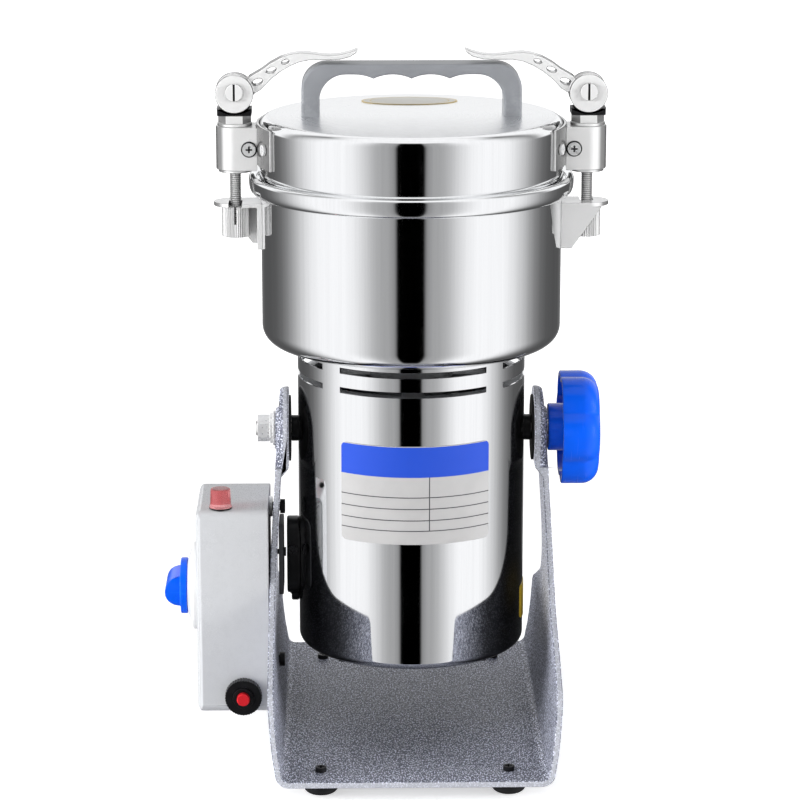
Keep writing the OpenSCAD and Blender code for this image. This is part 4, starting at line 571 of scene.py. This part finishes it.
def make_finishes(colours):
    """Every finish of the mill, by the record's slot names."""
    make_groups()
    steel = tuple(colours.steel)
    paint_finish("hammered_paint", colours.coat_dark, colours.coat_light, 1450.0, 0.44, 3e-5,
                 (0.60, 0.61, 0.66), on_frame=True)
    paint_finish("pale_paint", colours.box_fleck, colours.box_paint, 1900.0, 0.32, 1.2e-5,
                 (0.60, 0.61, 0.63))
    steel_finish("polished_steel", steel, 0.035, 0.065, (1.0, 1.0, 0.012))
    lid_finish("spun_lid_steel", steel, LID_HIGH.z)
    satin_finish("satin_steel", (0.95, 0.95, 0.95))
    zinc_finish("zinc_steel", (0.90, 0.905, 0.91), 0.24, 0.34, 900.0, 0.45)
    moulded_finish("black_steel", (0.018, 0.018, 0.02), 0.34, metal=0.4, shine=0.3)
    moulded_finish("black_rubber", (0.010, 0.010, 0.011), 0.58, 1900.0, 2e-5, shine=0.3)
    moulded_finish("grey_rubber", (0.045, 0.046, 0.05), 0.52, 1900.0, 2e-5)
    moulded_finish("pale_silicone", (0.80, 0.78, 0.72), 0.42)
    moulded_finish("black_plastic", (0.008, 0.008, 0.009), 0.28, shine=0.3)
    moulded_finish("grey_plastic", tuple(colours.handle), 0.34, 2200.0, 1.2e-5)
    moulded_finish("blue_plastic", tuple(colours.blue), 0.16, 3000.0, 2e-6, wear=(0.01, 0.17, 0.95),
                   shine=0.28)
    dial_plate_finish("white_plastic")
    moulded_finish("red_plastic", tuple(colours.red), 0.24, shine=0.35)
    lens_finish("lamp_lens", tuple(colours.red))
    moulded_finish("cream_plastic", (0.78, 0.74, 0.62), 0.38)
    zinc_finish("cast_aluminium", (0.62, 0.63, 0.65), 0.38, 0.52, 1600.0)
    steel_finish("core_steel", (0.36, 0.37, 0.39), 0.32, 0.5, (0.02, 0.02, 1.0), 2400.0, 2e-5)
    steel_finish("copper", (0.93, 0.47, 0.28), 0.22, 0.36, (1.0, 1.0, 0.2), 1400.0, 2e-5)
    steel_finish("brass", (0.87, 0.66, 0.30), 0.2, 0.34, (1.0, 1.0, 0.2), 900.0)
    moulded_finish("graphite", (0.03, 0.03, 0.033), 0.42, metal=0.3)
    nameplate_finish("label_foil", colours)
    moulded_finish("yellow_film", tuple(colours.yellow), 0.3)
    lid_label_finish("cream_film", colours)


# Meshes


def arc(mid_r, mid_z, radius, start, end, steps=10):
    """Points on an arc in the plane of radius and height; angles in degrees."""
    angles = [math.radians(start + (end - start) * i / steps) for i in range(steps + 1)]
    return [(mid_r + radius * math.cos(a), mid_z + radius * math.sin(a)) for a in angles]


def turned(profile, steps=RING_STEPS, closed=True):
    """Spin a profile of radius and height round the mill's axis."""
    mesh = bmesh.new()
    points = [mesh.verts.new((r, 0.0, z)) for r, z in profile]
    edges = [mesh.edges.new(pair) for pair in zip(points, points[1:])]
    if closed:
        edges.append(mesh.edges.new((points[-1], points[0])))
    bmesh.ops.spin(mesh, geom=points + edges, cent=(0, 0, 0), axis=(0, 0, 1), dvec=(0, 0, 0),
                   angle=2 * math.pi, steps=steps, use_merge=True, use_duplicate=False)
    bmesh.ops.remove_doubles(mesh, verts=mesh.verts, dist=WELD / 10)
    bmesh.ops.recalc_face_normals(mesh, faces=mesh.faces)
    return mesh


def raise_outline(mesh, outline, low, thickness):
    """Raise a flat outline into a small prism inside a mesh."""
    face = mesh.faces.new([mesh.verts.new((x, y, low)) for x, y in outline])
    raised = bmesh.ops.extrude_face_region(mesh, geom=[face])["geom"]
    raised = [item for item in raised if isinstance(item, bmesh.types.BMVert)]
    bmesh.ops.translate(mesh, verts=raised, vec=(0.0, 0.0, thickness))
    bmesh.ops.recalc_face_normals(mesh, faces=mesh.faces)


def copy_of(node):
    """A welded copy of a CAD node, with its flat triangles joined."""
    mesh = bmesh.new()
    mesh.from_mesh(frame["nodes"][node].data)
    bmesh.ops.remove_doubles(mesh, verts=mesh.verts, dist=WELD)
    bmesh.ops.dissolve_limit(mesh, angle_limit=FLAT_ANGLE, verts=mesh.verts, edges=mesh.edges)
    return mesh


def settle(mesh, name, body, slot, nodes=(), finish=None, creases=True):
    """Make a finished piece of a bmesh: shading, finish, body, slot and what it stands for."""
    for edge in mesh.edges:
        edge.smooth = not creases or edge.calc_face_angle(0.0) < CREASE_ANGLE
    for face in mesh.faces:
        face.smooth = True
    data = bpy.data.meshes.new(name)
    mesh.to_mesh(data)
    mesh.free()
    data.materials.append(bpy.data.materials[(finish or slot) + FINISH])
    piece = bpy.data.objects.new(name, data)
    bpy.context.scene.collection.objects.link(piece)
    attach(piece, body)
    if nodes:
        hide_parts(*nodes)
    return piece


def show_for(mesh, node, finish=None, creases=True):
    """Settle a piece that stands for a CAD node, in its body and slot."""
    return settle(mesh, node + "_shown", BODY_OF[node], SLOT_OF[node], (node,), finish, creases)


def place(mesh, where, quarters=0, axis="X"):
    """Turn a mesh by quarter turns about an axis, then move it."""
    turn = Matrix.Rotation(quarters * math.pi / 2, 3, axis)
    bmesh.ops.rotate(mesh, verts=mesh.verts, cent=(0, 0, 0), matrix=turn)
    bmesh.ops.translate(mesh, verts=mesh.verts, vec=where)


def round_edges(piece, width, segments=3, angle=CREASE_ANGLE):
    """Round a piece's sharp edges with a Bevel modifier."""
    bevel = piece.modifiers.new("Rounded edges", "BEVEL")
    bevel.width = width
    bevel.segments = segments
    bevel.limit_method = "ANGLE"
    bevel.angle_limit = angle
    bevel.use_clamp_overlap = False
    bevel.miter_outer = "MITER_ARC"
    weighted = piece.modifiers.new("Flat faces stay flat", "WEIGHTED_NORMAL")
    weighted.weight = 60
    weighted.keep_sharp = False


def rounded_copies(widths, finishes=None):
    """A rounded piece for each CAD node named, with the width of its rounding in millimetres."""
    made = {}
    for node, width in widths.items():
        piece = show_for(copy_of(node), node, (finishes or {}).get(node), creases=False)
        round_edges(piece, width * MM)
        made[node] = piece
    return made


class MillOperator:
    """What every operator of the mill shares."""

    bl_options = {"REGISTER", "UNDO"}

    def sizes(self, context):
        """The scene's sizes."""
        return context.scene.mill_sizes


class MILL_OT_finishes(MillOperator, bpy.types.Operator):
    """Make the finishes and give each CAD node its own"""

    bl_idname = "mill.finishes"
    bl_label = "Finishes"

    def execute(self, context):
        make_finishes(context.scene.mill_colours)
        for name, part in frame["nodes"].items():
            for slot in part.material_slots:
                slot.material = bpy.data.materials[SLOT_OF[name] + FINISH]
        return {"FINISHED"}


class MILL_OT_stand(MillOperator, bpy.types.Operator):
    """Round the bent frame, its feet, their screws and the friction discs"""

    bl_idname = "mill.stand"
    bl_label = "Stand"

    def execute(self, context):
        rounded_copies({"frame_bracket": 0.7, "rubber_feet": 0.8, "foot_screws": 0.12,
                        "friction_discs": 0.15})
        return {"FINISHED"}


class MILL_OT_control_box(MillOperator, bpy.types.Operator):
    """Round the control box and its fittings"""

    bl_idname = "mill.control_box"
    bl_label = "Control box"

    def execute(self, context):
        made = rounded_copies({
            "control_box": 0.5, "box_back_plate": 0.2, "box_screws": 0.1, "dial_plate": 0.25,
            "timer_dial": 0.6, "breaker_body": 0.2, "breaker_nut": 0.12, "reset_button": 0.6,
            "cable_gland": 0.3, "pilot_lamp_base": 0.2, "lead_plate": 0.6, "lead_cover": 1.0,
        })
        made["pilot_lamp_base"].visible_glossy = False
        return {"FINISHED"}


class MILL_OT_lamp(MillOperator, bpy.types.Operator):
    """Turn the fluted lens of the pilot lamp"""

    bl_idname = "mill.lamp"
    bl_label = "Pilot lamp"

    def execute(self, context):
        sizes = self.sizes(context)
        low, high = LAMP_LOW.z, LAMP_HIGH.z
        base_r = (LAMP_HIGH.x - LAMP_LOW.x) / 2
        top_r = base_r - 0.7 * MM
        edge = sizes.lamp_round
        foot, bevel = 0.8 * MM, 0.35 * MM
        profile = [(0.0, low), (base_r, low), (base_r, low + foot), (base_r - bevel, low + MM)]
        profile += arc(top_r - edge, high - edge, edge, 8, 90, 8)
        profile += [(0.0, high)]
        mesh = turned(profile, 96, closed=False)
        flutes, flutes_start, flat_share = 24, low + 1.2 * MM, 0.6
        for vert in mesh.verts:
            span = min(max((vert.co.z - flutes_start) / MM, 0.0), 1.0)
            reach = math.hypot(vert.co.x, vert.co.y)
            if reach > top_r * flat_share and span > 0.0:
                wave = (1 - math.cos(flutes * math.atan2(vert.co.y, vert.co.x))) / 2
                factor = 1 - span * sizes.lamp_flute * wave / reach
                vert.co.x *= factor
                vert.co.y *= factor
        middle = (LAMP_LOW + LAMP_HIGH) / 2
        place(mesh, (middle.x, middle.y, 0.0))
        lens = show_for(mesh, "pilot_lamp_lens", "lamp_lens")
        lens.visible_glossy = False
        return {"FINISHED"}


class MILL_OT_knob(MillOperator, bpy.types.Operator):
    """Turn the hollow lock knob and pull its lobes out"""

    bl_idname = "mill.knob"
    bl_label = "Lock knob"

    def execute(self, context):
        sizes = self.sizes(context)
        low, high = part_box("lock_knob")
        tip = sizes.knob_radius
        back, front = sizes.knob_hub_length, high.x - low.x
        dome, wall, hub = sizes.knob_dome, sizes.knob_wall, sizes.knob_hub_radius
        bore, bore_end = sizes.knob_bore, 20 * MM
        lip, soft = 0.7 * MM, 0.6 * MM
        inside = front - 2 * wall
        profile = [(0.0, bore_end), (bore, bore_end), (bore, 0.0)]
        profile += arc(hub - soft, soft, soft, -90, 0, 4)
        profile += [(hub, inside), (tip - wall, inside), (tip - wall, back + lip)]
        profile += arc(tip - wall + lip, back + lip, lip, 180, 270, 4)
        profile += arc(tip - lip, back + lip, lip, -90, 0, 4)
        profile += arc(tip - dome, front - dome, dome, 0, 90, 14)
        profile += [((tip - dome) * share, front) for share in (0.8, 0.6, 0.4, 0.2, 0.0)]
        mesh = turned(profile, 180, closed=False)
        lobe, centre = 0.38, 0.62
        half_lobe = math.pi / 6
        soft_valley = math.radians(2.5)
        for vert in mesh.verts:
            reach = math.hypot(vert.co.x, vert.co.y)
            if reach < hub + soft:
                continue
            turn = math.atan2(vert.co.y, vert.co.x) - half_lobe
            off = abs((turn + half_lobe) % (2 * half_lobe) - half_lobe)
            off = max(half_lobe - math.hypot(half_lobe - off, soft_valley), 0.0)
            shape = centre * math.cos(off) + math.sqrt(lobe ** 2 - (centre * math.sin(off)) ** 2)
            weight = min((reach - hub - soft) / (tip - wall - hub - soft), 1.0)
            factor = 1 + weight * sizes.knob_lobing * (shape - 1)
            vert.co.x *= factor
            vert.co.y *= factor
        place(mesh, (low.x, 0.0, sizes.pivot_height), 1, "Y")
        knob = show_for(mesh, "lock_knob")
        knob.visible_glossy = False
        return {"FINISHED"}


class MILL_OT_housing(MillOperator, bpy.types.Operator):
    """Turn the housing's tube and cut its vents"""

    bl_idname = "mill.housing"
    bl_label = "Motor housing"

    def execute(self, context):
        sizes = self.sizes(context)
        radius = HOUSING_HIGH.x
        corner = sizes.housing_corner
        rows = [sizes.vent_low + i * sizes.vent_pitch for i in range(2)]
        profile = [(radius - sizes.housing_lip, HOUSING_LOW.z)]
        profile += arc(radius - corner, HOUSING_LOW.z + corner, corner, -90, 0, 12)
        for low in rows:
            profile += [(radius, low), (radius, low + sizes.vent_width)]
        profile += [(radius, HOUSING_HIGH.z)]
        mesh = turned(profile, 240, closed=False)
        quarter, half_span = math.pi / 2, math.radians(39)
        slots = []
        for face in mesh.faces:
            middle = face.calc_center_median()
            turn = math.atan2(middle.y, middle.x) + quarter / 2
            off = turn % quarter - quarter / 2
            inside = any(low < middle.z < low + sizes.vent_width for low in rows)
            if inside and abs(off) < half_span:
                slots.append(face)
        bmesh.ops.delete(mesh, geom=slots, context="FACES")
        bmesh.ops.solidify(mesh, geom=list(mesh.faces), thickness=sizes.housing_wall)
        bmesh.ops.recalc_face_normals(mesh, faces=mesh.faces)
        show_for(mesh, "motor_housing")
        rounded_copies({"bottom_cover": 0.3, "housing_screws": 0.1}, {"housing_screws": "black_steel"})
        return {"FINISHED"}


class MILL_OT_pivots(MillOperator, bpy.types.Operator):
    """Round the studs, nuts and spacers of the pivots"""

    bl_idname = "mill.pivots"
    bl_label = "Pivots"

    def execute(self, context):
        rounded_copies({"pivot_studs": 0.4, "pivot_fasteners": 0.25, "pivot_spacers": 0.3})
        return {"FINISHED"}


class MILL_OT_bowl(MillOperator, bpy.types.Operator):
    """Turn the bowl with its flared and beaded rim, and round its latch ledges"""

    bl_idname = "mill.bowl"
    bl_label = "Bowl"

    def execute(self, context):
        sizes = self.sizes(context)
        radius, wall, corner = sizes.bowl_radius, sizes.bowl_wall, sizes.bowl_corner
        base, crease = BOWL_LOW.z, sizes.crease_height
        bead_r = BOWL_HIGH.x - sizes.bead_radius
        profile = [(sizes.bowl_hole, base)]
        profile += arc(radius - corner, base + corner, corner, -90, 0, 16)
        profile += [(radius, crease)]
        reach = BOWL_HIGH.x - radius
        rise = sizes.bead_height - crease
        roll_steps = 12
        for step in range(1, roll_steps):
            turn = math.pi / 2 * step / roll_steps
            profile.append((
                radius + reach * math.sin(turn) ** sizes.rim_fullness,
                crease + rise * (1 - math.cos(turn) ** sizes.rim_fullness),
            ))
        profile += arc(bead_r, sizes.bead_height, sizes.bead_radius, 0, 256, 28)
        profile += [(radius - wall, crease + wall / 3)]
        profile += arc(radius - corner, base + corner, corner - wall, 0, -90, 16)
        profile += [(sizes.bowl_hole, base + wall)]
        show_for(turned(profile, 256), "bowl")
        rounded_copies({"latch_ledges": 0.2})
        return {"FINISHED"}


class MILL_OT_blades(MillOperator, bpy.types.Operator):
    """Round the blades and their nut"""

    bl_idname = "mill.blades"
    bl_label = "Blades"

    def execute(self, context):
        rounded_copies({"lower_blade": 0.12, "upper_blade": 0.12, "blade_clamp": 0.3})
        return {"FINISHED"}


class MILL_OT_lid(MillOperator, bpy.types.Operator):
    """Turn the lid and its seal"""

    bl_idname = "mill.lid"
    bl_label = "Lid"

    def execute(self, context):
        sizes = self.sizes(context)
        radius, low, top = LID_HIGH.x, LID_LOW.z, LID_HIGH.z
        wall, corner = sizes.lid_wall, sizes.lid_corner
        lip_r = radius - sizes.lid_lip
        profile = [(0.0, top), (radius * 0.5, top)]
        profile += arc(radius - corner, top - corner, corner, 90, 0, 16)
        foot = 0.5 * MM
        profile += arc(radius - foot, low + foot, foot, 0, -90, 4)
        profile += [(lip_r, low), (lip_r, low + wall), (radius - wall, low + wall)]
        profile += arc(radius - corner, top - corner, corner - wall, 0, 90, 10)
        profile += [(0.0, top - wall)]
        show_for(turned(profile, 256, closed=False), "lid_shell", "spun_lid_steel")
        edge, seal_width = 0.6 * MM, 2.9 * MM
        inner, outer = SEAL_HIGH.x - seal_width, SEAL_HIGH.x
        profile = arc(outer - edge, SEAL_HIGH.z - edge, edge, 90, 0, 4)
        profile += arc(outer - edge, SEAL_LOW.z + edge, edge, 0, -90, 4)
        profile += arc(inner + edge, SEAL_LOW.z + edge, edge, -90, -180, 4)
        profile += arc(inner + edge, SEAL_HIGH.z - edge, edge, 180, 90, 4)
        show_for(turned(profile), "lid_seal")
        return {"FINISHED"}


class MILL_OT_handle(MillOperator, bpy.types.Operator):
    """Extrude the lid's strap handle from its outline and round its edges"""

    bl_idname = "mill.handle"
    bl_label = "Lid handle"

    def execute(self, context):
        sizes = self.sizes(context)
        base, top = HANDLE_LOW.z, HANDLE_HIGH.z
        half = HANDLE_HIGH.x
        half_depth = HANDLE_HIGH.y
        in_half = half - sizes.handle_leg
        under = top - sizes.handle_bar
        corner, inner = sizes.handle_corner, sizes.handle_inner
        pitch, depth = sizes.scallop_pitch, sizes.scallop_depth
        cusp_r = ((pitch / 2) ** 2 + depth ** 2) / (2 * depth)
        swing = math.degrees(math.atan2(cusp_r - depth, pitch / 2))
        outline = [(-half, base)]
        outline += arc(corner - half, top - corner, corner, 180, 90, 10)
        outline += arc(half - corner, top - corner, corner, 90, 0, 10)
        outline += [(half, base), (in_half, base)]
        outline += arc(in_half - inner, under - inner, inner, 0, 90, 14)
        outline += arc(1.5 * pitch, under - cusp_r, cusp_r, 90, 180 - swing, 5)
        for index in (0.5, -0.5):
            outline += arc(index * pitch, under - cusp_r, cusp_r, swing, 180 - swing, 10)[1:]
        outline += arc(-1.5 * pitch, under - cusp_r, cusp_r, swing, 90, 5)[1:]
        outline += arc(inner - in_half, under - inner, inner, 90, 180, 14)
        outline += [(-in_half, base)]
        mesh = bmesh.new()
        rim = [mesh.verts.new((x, half_depth, z)) for x, z in outline]
        side = mesh.faces.new(rim)
        moved = bmesh.ops.extrude_face_region(mesh, geom=[side])["geom"]
        moved = [item for item in moved if isinstance(item, bmesh.types.BMVert)]
        bmesh.ops.translate(mesh, verts=moved, vec=(0.0, -2 * half_depth, 0.0))
        bmesh.ops.recalc_face_normals(mesh, faces=mesh.faces)
        long_edges = [
            edge for edge in mesh.edges
            if edge.verts[0].co.y == edge.verts[1].co.y
            and (edge.verts[0].co.z > base or edge.verts[1].co.z > base)
        ]
        bmesh.ops.bevel(mesh, geom=long_edges, offset=sizes.handle_edge, affect="EDGES", segments=5,
                        profile=0.5, material=-1, clamp_overlap=False)
        show_for(mesh, "lid_handle")
        rounded_copies({"lid_screws": 0.1})
        return {"FINISHED"}


class MILL_OT_latches(MillOperator, bpy.types.Operator):
    """Round the latches, shade their screws and cut the threads of their rods"""

    bl_idname = "mill.latches"
    bl_label = "Latches"

    def execute(self, context):
        sizes = self.sizes(context)
        rounded_copies({
            "latch_saddles": 0.35, "latch_barrels": 0.35, "latch_nuts": 0.25, "cam_seats": 0.3,
            "left_knurled_nut": 0.08, "right_knurled_nut": 0.08, "left_lever": 0.7, "right_lever": 0.7,
        })
        self.shade_screws(sizes)
        for side in ("left", "right"):
            self.shade_pin(side + "_pin_slots", side + "_rod")
        for side in ("left", "right"):
            self.make_rod(sizes, side + "_rod")
        return {"FINISHED"}

    def make_rod(self, sizes, node):
        """The rod's eye from its solid, and a turned thread below it."""
        low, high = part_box(node)
        split_at = BARREL_HIGH.z - 6 * MM
        mesh = copy_of(node)
        every = list(mesh.verts) + list(mesh.edges) + list(mesh.faces)
        cut = bmesh.ops.bisect_plane(mesh, geom=every, plane_co=(0, 0, split_at), plane_no=(0, 0, 1),
                                     clear_inner=True)["geom_cut"]
        bmesh.ops.holes_fill(mesh, edges=[item for item in cut if isinstance(item, bmesh.types.BMEdge)])
        eye = settle(mesh, node + "_eye", BODY_OF[node], SLOT_OF[node], (node,), creases=False)
        round_edges(eye, 0.25 * MM)

        pitch, crest = sizes.thread_pitch, sizes.thread_radius
        root = crest - sizes.thread_depth
        start, end, point = low.z, split_at + 1.5 * MM, 0.4 * MM
        profile = [(0.0, start), (root - point, start)]
        for turn in range(int((end - start - pitch) / pitch)):
            foot = start + point + turn * pitch
            profile += [(root, foot), (crest, foot + 0.42 * pitch), (crest, foot + 0.58 * pitch)]
        profile += [(root, end - point / 2), (0.0, end - point / 2)]
        mesh = turned(profile, 32, closed=False)
        place(mesh, ((low.x + high.x) / 2, 0.0, 0.0))
        settle(mesh, node + "_thread", BODY_OF[node], SLOT_OF[node])

    def shade_screws(self, sizes):
        """Black toothed washer rings under the barrels' screws, also painted shadow lines; painted shade
        in cross recesses.
        """
        shelf = BARREL_HIGH.y
        height = (BARREL_LOW.z + BARREL_HIGH.z + 1.5 * MM) / 2
        across = BARREL_HIGH.x - shelf - sizes.barrel_screw_in
        hole_r, shadow_washer_r, shadow_washer_t = 2.0 * MM, 4.15 * MM, 0.22 * MM
        shade_low, shade_t = 0.73 * MM, 0.3 * MM
        half_arm, reach = 0.5 * MM, 1.85 * MM
        arm, cross = [(reach, half_arm), (half_arm, half_arm), (half_arm, reach)], []
        for _ in range(4):
            cross += arm
            arm = [(-y, x) for x, y in arm]
        # Painted shadow: each washer's black ring draws a dark line round a screw head; a black cross
        # fills each recess.
        profile = [(hole_r, 0.0), (shadow_washer_r, 0.0), (shadow_washer_r, shadow_washer_t), (hole_r, shadow_washer_t)]
        shadow_washer_mesh = bmesh.new()
        for side in (-1, 1):
            for face in (-1, 1):
                ring = turned(profile, 48)
                raise_outline(ring, cross, shade_low, shade_t)
                place(ring, (side * across, face * shelf, height), -face)
                part = bpy.data.meshes.new("washer")
                ring.to_mesh(part)
                ring.free()
                shadow_washer_mesh.from_mesh(part)
                bpy.data.meshes.remove(part)
        settle(shadow_washer_mesh, "barrel_screw_washers", "lid", "black_steel")

    def shade_pin(self, name, node):
        """Painted shade: black slabs in the slots at both ends of a cross pin."""
        low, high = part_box(node)
        slot_depth, pin_drop, shade_t = 0.7 * MM, 4.8 * MM, 0.25 * MM
        half_width, half_length = 0.5 * MM, 4.25 * MM
        outline = [(-half_width, -half_length), (half_width, -half_length), (half_width, half_length),
                   (-half_width, half_length)]
        shade = bmesh.new()
        raise_outline(shade, outline, high.y - slot_depth, shade_t)
        raise_outline(shade, outline, low.y + slot_depth - shade_t, shade_t)
        place(shade, ((low.x + high.x) / 2, 0.0, high.z - pin_drop), -1)
        settle(shade, name, BODY_OF[node], "black_steel")


class MILL_OT_stage(MillOperator, bpy.types.Operator):
    """Set the floor, the world, the lamps and the camera"""

    bl_idname = "mill.stage"
    bl_label = "Stage"

    def execute(self, context):
        scene = context.scene
        scene.view_settings.view_transform = "Standard"
        self.lay_floor(scene)
        self.set_world(scene)
        for lamp in LAMPS:
            self.hang_lamp(scene, *lamp)
        self.set_camera(scene)
        return {"FINISHED"}

    def lay_floor(self, scene):
        """A pale floor that mirrors don't see, so that they show the studio's pattern."""
        mesh = bmesh.new()
        bmesh.ops.create_grid(mesh, x_segments=1, y_segments=1, size=8.0)
        data = bpy.data.meshes.new("studio_floor")
        mesh.to_mesh(data)
        mesh.free()
        floor = bpy.data.objects.new("studio_floor", data)
        scene.collection.objects.link(floor)
        material = bpy.data.materials.new("studio_floor")
        material.use_nodes = True
        tree = material.node_tree
        tree.nodes.clear()
        path = add(tree, "ShaderNodeLightPath").outputs
        matt = add(tree, "ShaderNodeBsdfDiffuse", {"Color": (*scene.mill_colours.floor, 1.0)})
        away = length_of(tree, add(tree, "ShaderNodeTexCoord").outputs["Object"])
        glow = times(tree, path["Is Camera Ray"], remap(tree, away, 0.3, 1.3, 0.54, 1.0))
        lift = add(tree, "ShaderNodeEmission", {"Color": (*WHITE, 1.0), "Strength": glow})
        both = add(tree, "ShaderNodeAddShader", {0: matt.outputs[0], 1: lift.outputs[0]})
        clear = add(tree, "ShaderNodeBsdfTransparent")
        mixed = add(tree, "ShaderNodeMixShader", {
            0: path["Is Glossy Ray"], 1: both.outputs[0], 2: clear.outputs[0],
        })
        add(tree, "ShaderNodeOutputMaterial", {"Surface": mixed.outputs[0]})
        data.materials.append(material)

    def set_world(self, scene):
        """White for the camera, soft for surfaces, and soft boxes beside a dark band for mirrors."""
        world = bpy.data.worlds.new("Studio")
        scene.world = world
        world.use_nodes = True
        tree = world.node_tree
        tree.nodes.clear()
        path = add(tree, "ShaderNodeLightPath").outputs
        parts = split(tree, add(tree, "ShaderNodeTexCoord").outputs["Generated"])
        azimuth = calc(tree, "ARCTAN2", parts["X"], times(tree, parts["Y"], -1.0))
        azimuth = calc(tree, "ABSOLUTE", calc(tree, "ADD", azimuth, STUDIO_TURN))
        walls = add(tree, "ShaderNodeValToRGB", {0: calc(tree, "DIVIDE", azimuth, math.pi)})
        stops = walls.color_ramp.elements
        for degrees, level in STUDIO_WALLS:
            stop = stops.new(degrees / 180.0) if degrees else stops[0]
            stop.color = (level, level * 1.004, level * 1.02, 1.0)
        stops[-1].color = (*STUDIO_BACK, 1.0)
        overhead = remap(tree, parts["Z"], 0.80, 0.93)
        behind = times(tree, remap(tree, parts["Z"], -0.06, 0.08), remap(tree, parts["Y"], 0.2, 0.5))
        above = calc(tree, "MAXIMUM", overhead, behind)
        below = remap(tree, parts["Z"], -0.9, -0.99)
        pattern = blend_colour(tree, above, walls.outputs[0], STUDIO_CEILING)
        pattern = blend_colour(tree, below, pattern, STUDIO_GROUND)
        seen = calc(tree, "MAXIMUM", path["Is Camera Ray"], path["Is Transmission Ray"])
        plain = blend_colour(tree, seen, FILL_LIGHT, WHITE)
        tint = blend_colour(tree, path["Is Glossy Ray"], plain, pattern)
        sky = add(tree, "ShaderNodeBackground", {"Color": tint, "Strength": 1.0})
        add(tree, "ShaderNodeOutputWorld", {"Surface": sky.outputs[0]})

    def hang_lamp(self, scene, name, where, size, power):
        """A square soft lamp aimed at the mill; mirrors don't show it."""
        data = bpy.data.lights.new(name, "AREA")
        data.size = size
        data.energy = power
        lamp = bpy.data.objects.new(name, data)
        scene.collection.objects.link(lamp)
        lamp.location = where
        lamp.rotation_euler = (LAMP_AIM - Vector(where)).to_track_quat("-Z", "Y").to_euler()
        lamp.visible_glossy = False

    def set_camera(self, scene):
        """A camera in the photograph's place."""
        data = bpy.data.cameras.new("Camera")
        data.sensor_width = 36.0
        data.lens = CAMERA_LENS
        data.clip_start = 0.05
        data.clip_end = 50.0
        camera = bpy.data.objects.new("Camera", data)
        scene.collection.objects.link(camera)
        camera.location = CAMERA_PLACE
        camera.rotation_euler = CAMERA_AIM.to_track_quat("-Z", "Y").to_euler()
        scene.camera = camera


OPERATORS = (
    MILL_OT_finishes,
    MILL_OT_stand,
    MILL_OT_control_box,
    MILL_OT_lamp,
    MILL_OT_knob,
    MILL_OT_housing,
    MILL_OT_pivots,
    MILL_OT_bowl,
    MILL_OT_blades,
    MILL_OT_lid,
    MILL_OT_handle,
    MILL_OT_latches,
    MILL_OT_stage,
)


class MILL_PT_panel(bpy.types.Panel):
    """Sizes, colours and steps of the mill"""

    bl_idname = "MILL_PT_panel"
    bl_label = "Grain Mill"
    bl_space_type = "VIEW_3D"
    bl_region_type = "UI"
    bl_category = "Grain Mill"

    def draw(self, context):
        layout = self.layout
        for group in (context.scene.mill_sizes, context.scene.mill_colours):
            box = layout.box()
            for name in group.__annotations__:
                box.prop(group, name)
        for operator in OPERATORS:
            layout.operator(operator.bl_idname)


CLASSES = (MillSizes, MillColours, *OPERATORS, MILL_PT_panel)


def register():
    """Register the classes and their properties."""
    for cls in CLASSES:
        bpy.utils.register_class(cls)
    bpy.types.Scene.mill_sizes = bpy.props.PointerProperty(type=MillSizes)
    bpy.types.Scene.mill_colours = bpy.props.PointerProperty(type=MillColours)


def unregister():
    """Remove the properties and the classes."""
    del bpy.types.Scene.mill_colours
    del bpy.types.Scene.mill_sizes
    for cls in reversed(CLASSES):
        bpy.utils.unregister_class(cls)


def main():
    """Build the mill's pieces in order."""
    register()
    for operator in OPERATORS:
        group, name = operator.bl_idname.split(".")
        getattr(getattr(bpy.ops, group), name)()


if __name__ == "__main__":
    main()
